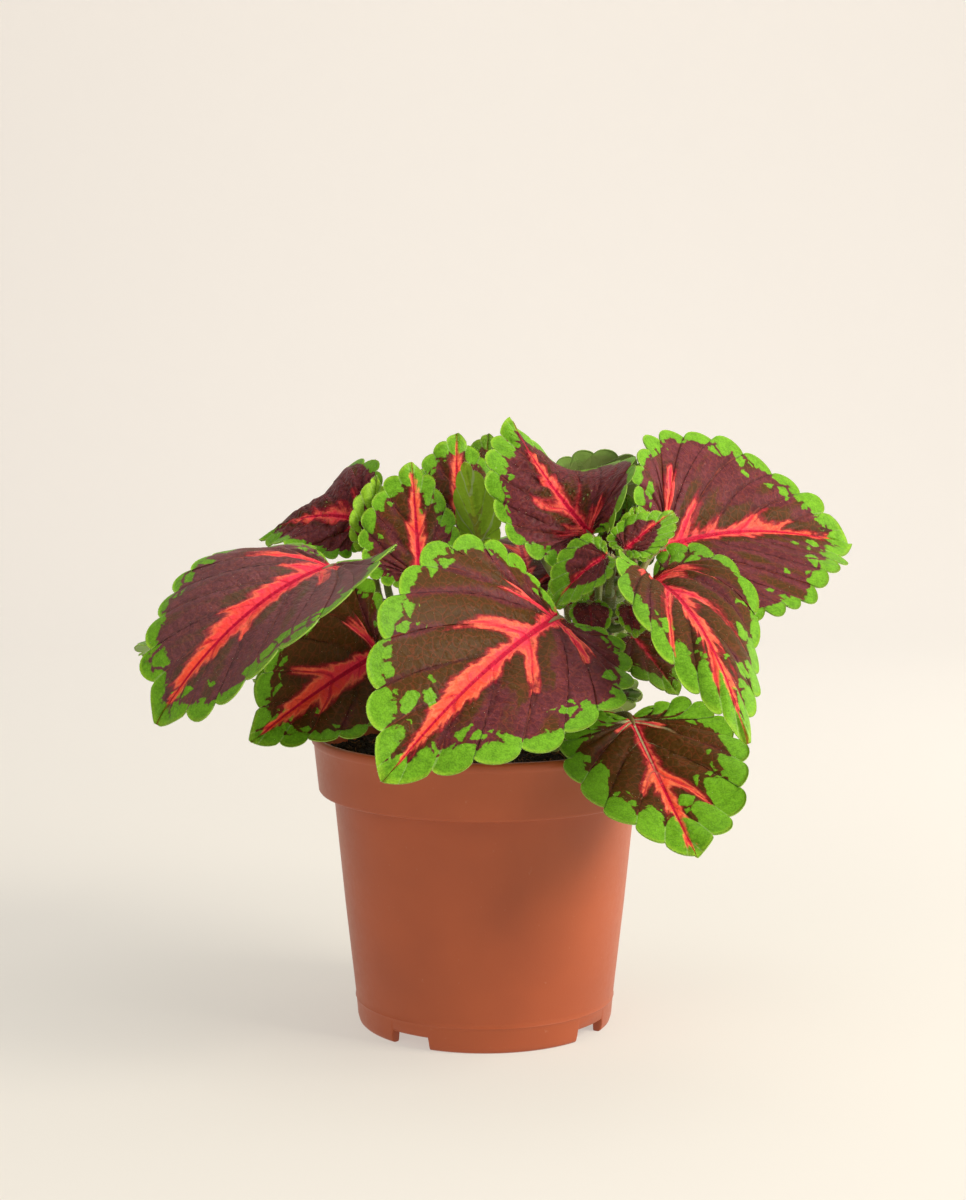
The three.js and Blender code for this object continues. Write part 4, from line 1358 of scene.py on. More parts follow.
    def relief(self, at: Places) -> tuple[Array, Array]:
        """How far the upper face stands out, and how far the lower one lies below it, in mm.

        The upper face is quilted, as sin^2 between the notches, wrinkled near the stalk, and sunk along the
        midrib. The lower one has a keel under the midrib and a ridge under each vein.

        Args:
            at: the grid's places.

        Returns:
            Both heights, each on the grid.
        """
        size, along, v = self.size, at.along, at.reach
        bulge = np.sin(np.pi * (at.number - np.floor(at.number))) ** 2
        quilt = self.QUILT * size * bulge * smooth(0.0, 0.35, v) * (1 - 0.85 * smooth(0.4, 1.0, v))
        phase = 2 * np.pi * along * self.leaf.length / self.WRINKLE_PITCH + 2.5 * np.sin(5 * v + 3 * along) + at.sway
        near = (1 - v) * smooth(0.02, 0.25, v) * (1 - smooth(0.5, 0.9, along))
        wrinkle = self.WRINKLE * self.leaf.look.pucker * np.sin(phase) * near
        trough = -self.TROUGH * size * np.exp(-((at.rib / 1.6) ** 2)) * (1 - along)
        keel = self.KEEL * size * np.exp(-((at.rib / 1.1) ** 2)) * (1 - 0.8 * along)
        ridge = self.RIDGE * size * np.exp(-((at.side / 0.7) ** 2)) * (1 - v)
        return quilt + wrinkle + trough, self.THICKNESS + keel + ridge - np.minimum(trough, 0)

    def build(self, surface: Surface) -> tuple[Array, Array]:
        """Adds the blade to a surface.

        Args:
            surface: where the faces go.

        Returns:
            The upper face's points and outward directions, for the hairs.
        """
        length, at = self.leaf.length, self.places()
        point, outward = self.leaf.surface(at.along, at.across, at.share, at.reach)
        flame = self.flame(at)
        green, cut = self.green(at)
        high, deep = self.relief(at)
        upper = point + outward * high[..., None]
        fibre = [at.share * length * 1.7 + self.seed * 7, at.reach * length / 12.0, at.sign * 3.0 + self.seed]
        layers = {
            "coral": flame, "green": green, "cut": cut, "rib": at.rib, "notch": at.notch, "edge": at.edge,
            "side": at.side + np.where(at.vein % 2 == 0, 0.0, 0.3), "along": at.along, "reach": at.reach,
            "half": at.sign, "fibre": np.stack(fibre, axis=-1),
        }
        self._close(surface, upper, upper - outward * deep[..., None], layers)
        return upper, outward

    def _close(self, surface: Surface, upper: Array, lower: Array, layers: dict[str, Array]) -> None:
        """Adds the two faces, their pointed ends and the rim between them.

        Args:
            surface: where the faces go.
            upper: rows by columns by 3 points, from the left margin to the right.
            lower: the same for the under face.
            layers: values on the same grid.
        """
        leaf = self.leaf
        rows, columns = upper.shape[:2]
        ends, way = leaf.surface(
            np.array([0.0, 1.0]), np.array([0.0, 0.0]), np.array([0.0, 1.0]), np.array([0.0, 0.0])
        )
        count = rows * columns
        top = np.concatenate([upper.reshape(-1, 3), ends])
        bottom = np.concatenate([lower.reshape(-1, 3), ends - self.THICKNESS * way])
        quads = grid_faces(rows, columns)
        across = np.arange(columns - 1)
        last = (rows - 1) * columns
        near = np.stack([across + 1, across, np.full(columns - 1, count)], axis=-1)
        far = np.stack([last + across, last + across + 1, np.full(columns - 1, count + 1)], axis=-1)
        total = count + 2
        rows_down = np.arange(rows) * columns
        left = np.concatenate([[count], rows_down, [count + 1]])
        right = np.concatenate([[count + 1], rows_down[::-1] + columns - 1, [count]])
        loop = np.concatenate([left[:-1], right[:-1]])
        onward = np.roll(loop, -1)
        rim = np.stack([loop, loop + total, onward + total, onward], axis=-1)
        values = {}
        for name, grid in layers.items():
            flat = grid.reshape(count, -1) if grid.ndim > 2 else grid.ravel()
            both = np.concatenate([flat, flat[:1], flat[-1:]])
            both[-2] = flat[columns // 2]
            both[-1] = flat[last + columns // 2]
            values[name] = np.concatenate([both, both])
        values["under"] = np.concatenate([np.zeros(total), np.ones(total)])
        points = np.concatenate([top, bottom])
        faces = [quads, near, far, quads[:, ::-1] + total, near[:, ::-1] + total, far[:, ::-1] + total, rim]
        surface.add(points, faces, 0, **values)


class Stalk:
    """A leaf's stalk: a downy round stalk with a shallow groove on top, with its sizes in mm."""

    FOOT = 1.5
    TOP = 1.1
    SEAT = 0.45
    ARCH = 0.35
    LEVEL = 0.3
    UNDER = 0.06
    SIDES = 14
    STEPS = 26
    SUNK = 0.9
    BELOW = 0.8
    SWELLING, SWELLING_REACH = 0.28, 0.07
    GROOVE, GROOVE_REACH = 0.16, 0.5
    # Ways and widths of the last rings, which run out under the midrib
    ENDS = ((0.35, 0.85), (0.7, 0.6), (1.0, 0.3))

    def __init__(self, leaf: Leaf) -> None:
        """Keeps the leaf."""
        self.leaf = leaf

    def build(self, surface: Surface, slot: int) -> tuple[Array, Array]:
        """Adds the stalk: a Bezier curve out of the stem's face to the joint, then on under the midrib.

        Args:
            surface: where the faces go.
            slot: its material number.

        Returns:
            Points on the stalk and their outward directions, for the hairs.
        """
        leaf = self.leaf
        stem = leaf.stem
        ahead, _, up = leaf.axes()
        joint = np.array(leaf.joint)
        centre, onward, half = stem.at(leaf.node)
        away = np.array([joint[0] - centre[0], joint[1] - centre[1], 0.0])
        away = unit(away - onward * (away @ onward))
        facing = math.atan2(away[1], away[0]) - math.radians(stem.turn)
        reach = (half - Stem.CORNER / 2) * (abs(math.cos(facing)) + abs(math.sin(facing)))
        start = centre + away * (max(reach, half) + self.SEAT)
        under = joint - up * self.BELOW
        length = np.linalg.norm(start - under)
        bezier = np.stack([start, start + away * length * self.ARCH, under - ahead * length * self.LEVEL, under])
        t = np.linspace(0, 1, self.STEPS)[:, None]
        weights = np.concatenate([(1 - t) ** 3, 3 * (1 - t) ** 2 * t, 3 * (1 - t) * t**2, t**3], axis=1)
        curve = weights @ bezier
        root = start - away * self.SUNK
        ways, widths = np.array(self.ENDS).T
        further = under + leaf.length * self.UNDER * ways[:, None] * ahead
        centres = np.concatenate([[root], curve, further])
        share = np.linspace(0, 1, len(centres))
        radius = self.FOOT + (self.TOP - self.FOOT) * share
        radius = radius * (1 + self.SWELLING * np.exp(-((share / self.SWELLING_REACH) ** 2)))
        radius[-len(widths) :] *= widths
        angle = np.linspace(0, 2 * np.pi, self.SIDES, endpoint=False)
        from_top = np.angle(np.exp(1j * (angle - np.pi / 2)))
        groove = 1 - self.GROOVE * np.exp(-((from_top / self.GROOVE_REACH) ** 2))
        ring = np.stack([np.cos(angle) * groove, np.sin(angle) * groove], axis=-1)
        sections = radius[:, None, None] * ring
        reference = unit(np.cross(away, [0.0, 0.0, 1.0]))
        rings = tube(centres, sections, reference)
        capped_tube(surface, rings, slot, along=share)
        hairy = slice(2, -len(widths) - 1)
        return rings[hairy].reshape(-1, 3), unit(rings - centres[:, None])[hairy].reshape(-1, 3)


@dataclass(frozen=True)
class StalkFinish:
    """Downy green stalk and stem skin, flushed red where the light reaches it."""

    green: str = "#6f8a34"
    dark: str = "#4a5c20"
    flush: str = "#8c4a38"
    hair: str = "#d9e0b4"

    def material(self, name: str) -> bpy.types.Material:
        """Builds the node tree: blotches 6 mm apart and a velvety bump.

        Args:
            name: the material's name.

        Returns:
            The material.
        """
        nodes = Nodes(name)
        blotch = nodes.noise(nodes.place(), 160.0, 3.0)
        skin = nodes.mix(nodes.ramp(blotch, 0.35, 0.6), linear(self.dark), linear(self.green))
        return nodes.close({
            "Base Color": nodes.mix(nodes.times(nodes.layer("along"), blotch), skin, linear(self.flush)),
            "Roughness": 0.5,
            "Normal": nodes.bump(nodes.noise(nodes.place(), 1800.0), 0.4, 0.2 * MILLIMETRE),
            "Subsurface Weight": 0.12,
            "Subsurface Radius": (0.6, 0.9, 0.3),
            "Subsurface Scale": MILLIMETRE,
            "Sheen Weight": 0.3,
            "Sheen Roughness": 0.4,
        })

    def hair_material(self, name: str) -> bpy.types.Material:
        """Clear, pale plant hairs."""
        return Nodes(name).close({"Base Color": linear(self.hair), "Roughness": 0.4})


class Foliage:
    """All leaves of the plant, each with its stalk and its down."""

    STALK_HAIRS, STALK_HAIR = 260, 0.9
    BLADE_HAIRS, RIM_HAIRS, BLADE_HAIR = 520, 260, 0.55
    SEED = 500

    def __init__(self, stalk: bpy.types.Material, hair: bpy.types.Material) -> None:
        """Keeps the materials that the leaves share."""
        self.stalk = stalk
        self.hair = hair

    def leaf(self, leaf: Leaf, seed: int) -> bpy.types.Object:
        """Builds one leaf as one piece.

        Args:
            leaf: its form and pattern.
            seed: the start of its random draws.

        Returns:
            The piece.
        """
        surface = Surface()
        draw = np.random.default_rng(seed + self.SEED)
        blade_points, blade_out = Blade(leaf, seed).build(surface)
        stalk_points, stalk_out = Stalk(leaf).build(surface, 1)
        chosen = draw.integers(0, len(stalk_points), self.STALK_HAIRS)
        self._hairs(surface, draw, stalk_points[chosen], stalk_out[chosen], self.STALK_HAIR)
        rows, columns = blade_points.shape[:2]
        row = draw.integers(0, rows, self.BLADE_HAIRS)
        column = draw.integers(0, columns, self.BLADE_HAIRS)
        column[: self.RIM_HAIRS] = np.where(draw.random(self.RIM_HAIRS) < 0.5, 0, columns - 1)
        roots, out = blade_points[row, column], blade_out[row, column]
        rim = (column == 0) | (column == columns - 1)
        sideways = unit(blade_points[row, column] - blade_points[row, columns // 2])
        out = np.where(rim[:, None], unit(sideways + 0.3 * out), out)
        self._hairs(surface, draw, roots, out, self.BLADE_HAIR)
        finish = LeafFinish(leaf.look, seed * 0.37, leaf.fineness())
        piece = surface.build("dressed_" + leaf.name, [finish.material(leaf.name + "_skin"), self.stalk, self.hair])
        seat(piece, Slot.LEAF, *([leaf.name] if leaf in LEAVES else []))
        return piece

    def _hairs(self, surface: Surface, draw: np.random.Generator, roots: Array, out: Array, length: float) -> None:
        """Adds hairs of about the given length, each leaning its own way.

        Args:
            surface: where they go.
            draw: the source of random values.
            roots: n by 3 foot points.
            out: n by 3 unit directions.
            length: their length in mm.
        """
        lean = unit(out + draw.normal(0, 0.35, out.shape))
        lengths = length * draw.uniform(0.5, 1.2, len(roots))
        points, faces = hairs(roots - 0.05 * lean, lean, lengths, HAIR_WIDTH)
        surface.add(points, [faces], 2)

    def build(self) -> None:
        """Builds every leaf."""
        for number, leaf in enumerate(LEAVES + SIDE_LEAVES):
            self.leaf(leaf, number + 1)


class Shoots:
    """The square stems, downy and swollen at their nodes."""

    SIDES = 40
    STEPS = 120
    POWER = 5
    SEED = 900
    SWELLING, SWELLING_REACH = 0.07, 2.2
    HAIRS = 1300
    TIP_ROUNDING = (0.97, 0.85, 0.6, 0.25)

    def __init__(self, skin: bpy.types.Material, hair: bpy.types.Material) -> None:
        """Keeps the materials."""
        self.skin = skin
        self.hair = hair

    def stem(self, stem: Stem, seed: int) -> bpy.types.Object:
        """Builds one stem.

        The section is a rounded square, r = half (|cos|^n + |sin|^n)^(-1/n) with n = POWER, with shallow
        hollow faces, and it swells at each height where a stalk starts.

        Args:
            stem: its form.
            seed: the start of its random draws.

        Returns:
            The piece.
        """
        share = np.linspace(0, 1, self.STEPS)
        centres = stem.path(share)
        heights = centres[:, 2]
        swell = np.zeros(self.STEPS)
        for leaf in LEAVES:
            if leaf.stem is stem:
                swell = np.maximum(swell, np.exp(-(((heights - leaf.node) / self.SWELLING_REACH) ** 2)))
        angle = np.linspace(0, 2 * np.pi, self.SIDES, endpoint=False)
        square = (np.abs(np.cos(angle)) ** self.POWER + np.abs(np.sin(angle)) ** self.POWER) ** (-1 / self.POWER)
        hollow = 1 - 0.07 * np.cos(2 * angle) ** 4
        radius = stem.half(share)[:, None] * square * hollow * (1 + self.SWELLING * swell[:, None])
        radius[-len(self.TIP_ROUNDING) :] *= np.array(self.TIP_ROUNDING)[:, None]
        sections = radius[..., None] * np.stack([np.cos(angle), np.sin(angle)], axis=-1)
        turn = math.radians(stem.turn)
        rings = tube(centres, sections, np.array([math.cos(turn), math.sin(turn), 0.0]))
        surface = Surface()
        capped_tube(surface, rings, 0, along=0.25 + 0.6 * swell)
        draw = np.random.default_rng(seed)
        row = draw.integers(self.STEPS // 3, self.STEPS - 5, self.HAIRS)
        column = draw.integers(0, self.SIDES, self.HAIRS)
        roots = rings[row, column]
        out = unit(unit(roots - centres[row]) + draw.normal(0, 0.3, roots.shape))
        points, faces = hairs(roots - 0.05 * out, out, draw.uniform(0.4, 1.1, len(row)), HAIR_WIDTH)
        surface.add(points, [faces], 1)
        piece = surface.build("dressed_" + stem.name, [self.skin, self.hair])
        seat(piece, Slot.STEM, stem.name)
        return piece

    def build(self) -> None:
        """Builds every stem."""
        for number, stem in enumerate(STEMS):
            self.stem(stem, self.SEED + number)


@dataclass(frozen=True)
class PotFinish:
    """Injection-moulded polypropylene in a terracotta colour.

    It gives the eye a satin skin with a fine moulded grain, a faint waxy depth and a little dried soil.
    """

    clay: str = "#ae5631"
    shade: str = "#96482b"
    dust: str = "#b98a6a"

    def material(self) -> bpy.types.Material:
        """Builds the node tree: 30 mm tone drifts, 0.5 mm grain and dusty specks.

        Returns:
            The material.
        """
        nodes = Nodes("terracotta_polypropylene")
        place = nodes.place()
        drift = nodes.ramp(nodes.noise(place, 30.0), 0.35, 0.65, 0.0, 0.4)
        scuff = nodes.noise(place, 420.0, 5.0, 0.7)
        specks = nodes.ramp(scuff, 0.66, 0.74, 0.0, 0.35)
        body = nodes.mix(drift, linear(self.clay), linear(self.shade))
        return nodes.close({
            "Base Color": nodes.mix(specks, body, linear(self.dust)),
            "Roughness": nodes.ramp(scuff, 0.3, 0.7, 0.36, 0.46),
            "Normal": nodes.bump(nodes.noise(place, 1900.0), 0.12, 0.2 * MILLIMETRE),
            "IOR": 1.49,
            "Specular IOR Level": 0.38,
            "Subsurface Weight": 0.05,
            "Subsurface Radius": (1.0, 0.4, 0.2),
            "Subsurface Scale": MILLIMETRE,
        })


@dataclass
class Pot:
    """The moulded pot: a lathed shell with a lipped rim, a mould line, a notched skirt and drain holes.

    Attributes:
        rim, height, collar_height, collar, shoulder, foot, wall, skirt_height, skirt_width, floor: the
            sizes of the part's source, in mm.
        notch_angle: half the angle of a notch, in degrees.
        notch_height: its height in mm.
        notches: the middles of the notches, in degrees.
    """

    rim: float = 60.0
    height: float = 102.0
    collar_height: float = 20.0
    collar: float = 57.6
    shoulder: float = 52.4
    foot: float = 44.2
    wall: float = 1.5
    skirt_height: float = 5.0
    skirt_width: float = 2.4
    floor: float = 1.5
    notch_angle: float = 9.8
    notch_height: float = 4.2
    notches: tuple[float, ...] = (-35.0, 55.0, 145.0, 235.0)
    drain_radius: float = 4.0
    drain_circle: float = 27.0
    mould_line: float = 9.0
    sides: int = 288

    # First and last point of the skirt in the profile, and the height up to which a notch lifts them
    SKIRT_POINTS = (2, 9)
    NOTCH_REACH = 2.65
    HOLES_ROUND = 6
    HOLE_SIDES = 32
    SHARP_ANGLE = 40.0

    def profile(self) -> Array:
        """Finds the lathed outline.

        Returns:
            Radius and height pairs from the middle of the underside, out, up, over the rim and back in. They are
            listed as small steps out and up from each main corner.
        """
        low = self.height - self.collar_height
        slope = (self.shoulder - self.foot) / (low - 2.5)
        bead = self.foot + slope * self.mould_line
        corners = (
            (0.0, self.skirt_height, (0.01, 0.0)),
            (self.foot - self.skirt_width, self.skirt_height, (-0.4, 0.0), (0.0, -0.4)),
            (self.foot - self.skirt_width, 0.0, (-0.55, 0.35), (-0.3, 0.0)),
            (self.foot, 0.0, (-1.3, 0.0), (-0.7, 0.15), (-0.25, 0.6), (0.0, 1.4), (0.3, 2.6)),
            (bead, self.mould_line, (-0.2, -1.2), (0.0, -0.35), (0.16, 0.0), (0.02, 0.35), (0.1, 2.0)),
            ((self.foot + self.shoulder) / 2, (low + 2.5) / 2, (0.35, 0.0)),
            (self.shoulder, low, (-0.15, -2.6), (0.05, -1.0), (0.4, -0.3), (1.2, 0.0)),
            (self.collar, low, (-0.9, 0.0), (-0.35, 0.12), (-0.05, 0.5), (0.04, 1.2)),
            ((self.collar + self.rim) / 2, self.height, (-0.35, -11.0)),
            (self.rim, self.height, (-0.8, -3.6), (-0.45, -3.1), (-0.08, -2.6), (0.0, -1.9), (0.0, -1.0)),
            (self.rim, self.height, (-0.25, -0.35), (-0.85, 0.0), (-1.5, 0.0), (-2.1, -0.3), (-2.4, -1.0)),
            (self.rim, self.height, (-2.6, -3.0)),
            (self.collar - self.wall, low, (0.0, 2.3)),
            (self.shoulder - self.wall, low, (0.0, 1.5)),
            (self.foot - self.wall, self.skirt_height + self.floor, (0.6, 1.0), (-0.8, 0.0)),
            (0.0, self.skirt_height + self.floor, (0.01, 0.0)),
        )
        return np.array([(radius + out, level + up) for radius, level, *offsets in corners for out, up in offsets])

    def shell(self) -> bpy.types.Object:
        """Turns the profile round the axis and lifts the skirt's foot at each notch.

        Returns:
            The piece, without its drain holes.
        """
        profile = self.profile()
        edges = [middle + offset for middle in self.notches for offset in (-self.notch_angle, self.notch_angle)]
        even = np.linspace(0, 360, self.sides, endpoint=False)
        angle = np.concatenate([even, np.mod(np.add.outer(edges, [-0.35, 0.35]).ravel(), 360)])
        angle = np.unique(np.round(angle, 3))
        off = np.min([np.abs(np.mod(angle - middle + 180, 360) - 180) for middle in self.notches], axis=0)
        lifted = 1 - smooth(self.notch_angle - 0.3, self.notch_angle + 0.3, off)
        turn = np.radians(angle)[None, :]
        radius, level = (profile[:, axis, None] * np.ones_like(turn) for axis in range(2))
        number = np.arange(len(profile))
        skirt = (number >= self.SKIRT_POINTS[0]) & (number <= self.SKIRT_POINTS[1])
        raised = self.notch_height + level * (self.skirt_height - self.notch_height - 0.1) / 2.7
        raised = np.minimum(raised, self.skirt_height - 0.05)
        raised = np.where(profile[:, 1:] > self.NOTCH_REACH, level, np.maximum(raised, level))
        level = np.where(skirt[:, None], level + (raised - level) * lifted, level)
        points = np.stack([radius * np.cos(turn), radius * np.sin(turn), level], axis=-1)
        ends = np.array([[0, 0, self.skirt_height], [0, 0, self.skirt_height + self.floor]])
        surface = Surface()
        capped_tube(surface, points, ends=ends)
        return surface.build("dressed_pot", [PotFinish().material()])

    def drain(self, pot: bpy.types.Object) -> None:
        """Cuts the drain holes through the floor, one in the middle and a circle round it.

        Args:
            pot: the shell, whose mesh is replaced.
        """
        mesh = bmesh.new()
        turns = np.arange(self.HOLES_ROUND) * 2 * math.pi / self.HOLES_ROUND
        circle = np.stack([np.cos(turns), np.sin(turns)], axis=-1) * self.drain_circle
        radius, level = self.drain_radius * MILLIMETRE, self.skirt_height + self.floor / 2
        for x, y in np.concatenate([[[0.0, 0.0]], circle]):
            made = bmesh.ops.create_cone(
                mesh, cap_ends=True, segments=self.HOLE_SIDES, radius1=radius, radius2=radius, depth=6 * MILLIMETRE
            )
            middle = (x * MILLIMETRE, y * MILLIMETRE, level * MILLIMETRE)
            bmesh.ops.translate(mesh, verts=made["verts"], vec=middle)
        data = bpy.data.meshes.new("drain_cutters")
        mesh.to_mesh(data)
        mesh.free()
        cutter = bpy.data.objects.new("drain_cutters", data)
        bpy.context.scene.collection.objects.link(cutter)
        cut = pot.modifiers.new("drains", "BOOLEAN")
        cut.operation = "DIFFERENCE"
        cut.solver = "EXACT"
        cut.object = cutter
        graph = bpy.context.evaluated_depsgraph_get()
        pot.data = bpy.data.meshes.new_from_object(pot.evaluated_get(graph))
        pot.modifiers.clear()
        bpy.data.objects.remove(cutter)

    def build(self) -> None:
        """Builds the pot and hides its node."""
        pot = self.shell()
        self.drain(pot)
        pot.data.shade_smooth()
        pot.data.set_sharp_from_angle(angle=math.radians(self.SHARP_ANGLE))
        seat(pot, Slot.POT, "pot")


@dataclass(frozen=True)
class SoilFinish:
    """Moist peat: near black, with brown fibres and a few pale grains of grit."""

    peat: str = "#1d130c"
    brown: str = "#46301d"
    grit: str = "#8f7d62"

    def material(self, name: str, light: float) -> bpy.types.Material:
        """Builds the node tree: 1.5 mm crumbs, 6 mm patches and grit specks.

        Args:
            name: the material's name.
            light: share of the brown in it.

        Returns:
            The material.
        """
        nodes = Nodes(name)
        place = nodes.place()
        patch, crumb = nodes.noise(place, 260.0, 6.0, 0.7), nodes.noise(place, 1100.0, 4.0, 0.7)
        tone = nodes.ramp(patch, 0.62 - light * 0.3, 0.78 - light * 0.2)
        body = nodes.mix(tone, linear(self.peat), linear(self.brown))
        cells = nodes.add("TexVoronoi", {"Vector": place, "Scale": 700.0})
        return nodes.close({
            "Base Color": nodes.mix(nodes.ramp(crumb, 0.7, 0.76, 0.0, 0.6), body, linear(self.grit)),
            "Roughness": 0.85,
            "Normal": nodes.bump(nodes.math("ADD", cells, crumb), 0.9, 0.8 * MILLIMETRE),
            "Specular IOR Level": 0.3,
        })


@dataclass
class Soil:
    """The peat in the pot: a rough crown, loose crumbs and root fibres.

    Attributes:
        level: height at the wall, in mm.
        crown: rise towards the middle.
        radius: where it meets the wall.
        low: the profile below the surface, as radius and height pairs.
    """

    level: float = 92.6
    crown: float = 2.6
    radius: float = 56.4
    low: tuple[Pair, ...] = ((42.6, 6.9), (44.0, 9.0), (51.0, 80.0), (55.8, 85.5), (56.2, 90.5))
    rings: int = 70
    sides: int = 300

    # Width and height of each size of lumps in mm, and how many waves make it
    LUMPS = ((16.0, 0.5, 6), (6.0, 0.35, 10), (2.4, 0.28, 14))
    CRUMBS = 1500
    CRUMB_SIZES = (0.35, 2.2)
    FIBRES, FIBRE_STEPS = 150, 12
    LUMP_SEED, CRUMB_SEED, FIBRE_SEED = 41, 43, 47

    def surface_height(self, x: Array, y: Array) -> Array:
        """Finds the height of the peat: a crown, and three sizes of lumps as sums of turned sine waves.

        Args:
            x, y: places in mm.

        Returns:
            The heights in mm.
        """
        base = self.level + self.crown * (1 - (x**2 + y**2) / 3600)
        draw = np.random.default_rng(self.LUMP_SEED)
        lumps = np.zeros_like(x)
        for scale, height, count in self.LUMPS:
            for _ in range(count):
                turn, phase = draw.uniform(0, 2 * np.pi, 2)
                size = scale * draw.uniform(0.7, 1.4)
                wave = np.sin(2 * np.pi * (x * np.cos(turn) + y * np.sin(turn)) / size + phase)
                lumps = lumps + height / math.sqrt(count) * wave
        return base + np.abs(lumps) ** 0.8 * np.sign(lumps) * 1.4

    def body(self, finish: bpy.types.Material) -> None:
        """The closed body of peat.

        Args:
            finish: its material.
        """
        ring = self.radius * (np.arange(1, self.rings + 1) / self.rings) ** 0.85
        turn = np.linspace(0, 2 * np.pi, self.sides, endpoint=False)
        r, a = np.meshgrid(ring[::-1], turn, indexing="ij")
        x, y = r * np.cos(a), r * np.sin(a)
        top = np.stack([x, y, self.surface_height(x, y)], axis=-1)
        wall = np.array(self.low)
        around = wall[:, :1] * np.cos(turn), wall[:, :1] * np.sin(turn), wall[:, 1:]
        side = np.stack(np.broadcast_arrays(*around), axis=-1)
        surface = Surface()
        capped_tube(surface, np.concatenate([side, top]))
        seat(surface.build("dressed_soil", [finish]), Slot.SOIL, "soil")

    def crumbs(self, finish: bpy.types.Material) -> None:
        """Loose crumbs: dented icosahedra, sunk a third into the peat.

        Args:
            finish: their material.
        """
        draw = np.random.default_rng(self.CRUMB_SEED)
        count = self.CRUMBS
        radius = self.radius * 0.975 * np.sqrt(draw.random(count))
        turn = draw.uniform(0, 2 * np.pi, count)
        x, y = radius * np.cos(turn), radius * np.sin(turn)
        size = np.clip(draw.lognormal(-0.35, 0.45, count), *self.CRUMB_SIZES)
        z = self.surface_height(x, y) + size * 0.15
        mesh = bmesh.new()
        bmesh.ops.create_icosphere(mesh, subdivisions=1, radius=1.0)
        ball = np.array([vertex.co[:] for vertex in mesh.verts])
        faces = np.array([[vertex.index for vertex in face.verts] for face in mesh.faces])
        mesh.free()
        stretch = draw.uniform(0.6, 1.3, (count, 1, 3))
        dents = draw.uniform(0.72, 1.2, (count, len(ball), 1))
        points = ball[None] * dents * stretch * size[:, None, None]
        points = points + np.stack([x, y, z], axis=-1)[:, None]
        inside = np.linalg.norm(points[..., :2], axis=-1).max(axis=1) < self.radius
        points = points[inside]
        numbers = faces[None] + np.arange(len(points))[:, None, None] * len(ball)
        surface = Surface()
        surface.add(points.reshape(-1, 3), [numbers.reshape(-1, 3)])
        seat(surface.build("soil_crumbs", [finish], smooth_shade=False), Slot.SOIL)

    def fibres(self, finish: bpy.types.Material) -> None:
        """Root fibres: thin tubes that wander over the peat.

        Args:
            finish: their material.
        """
        draw = np.random.default_rng(self.FIBRE_SEED)
        surface = Surface()
        angle = np.linspace(0, 2 * np.pi, 5, endpoint=False)
        ring = np.stack([np.cos(angle), np.sin(angle)], axis=-1)
        steps = self.FIBRE_STEPS
        for _ in range(self.FIBRES):
            length = draw.uniform(5, 18)
            heading = draw.uniform(0, 2 * np.pi) + np.cumsum(draw.normal(0, 0.28, steps))
            stride = length / steps
            distance = self.radius * 0.93 * math.sqrt(draw.random())
            start = draw.uniform(0, 2 * np.pi)
            x = distance * math.cos(start) + np.cumsum(stride * np.cos(heading))
            y = distance * math.sin(start) + np.cumsum(stride * np.sin(heading))
            shrink = np.minimum(1, (self.radius - 1.2) / np.maximum(np.hypot(x, y), 1e-6))
            x, y = x * shrink, y * shrink
            lift = draw.uniform(0.1, 1.3) * np.sin(np.pi * np.linspace(0, 1, steps)) + 0.1
            centres = np.stack([x, y, self.surface_height(x, y) + lift], axis=-1)
            width = draw.uniform(0.09, 0.24) * np.linspace(1, 0.5, steps)
            capped_tube(surface, tube(centres, width[:, None, None] * ring, np.array([0.05, 0.02, 1.0])))
        seat(surface.build("root_fibres", [finish]), Slot.SOIL)

    def build(self) -> None:
        """Builds the peat, its crumbs and its fibres."""
        finish = SoilFinish()
        self.body(finish.material("moist_peat", 0.25))
        self.crumbs(finish.material("peat_crumbs", 0.7))
        self.fibres(SoilFinish(peat="#4a3018", brown="#8a6238").material("root_fibre", 0.9))


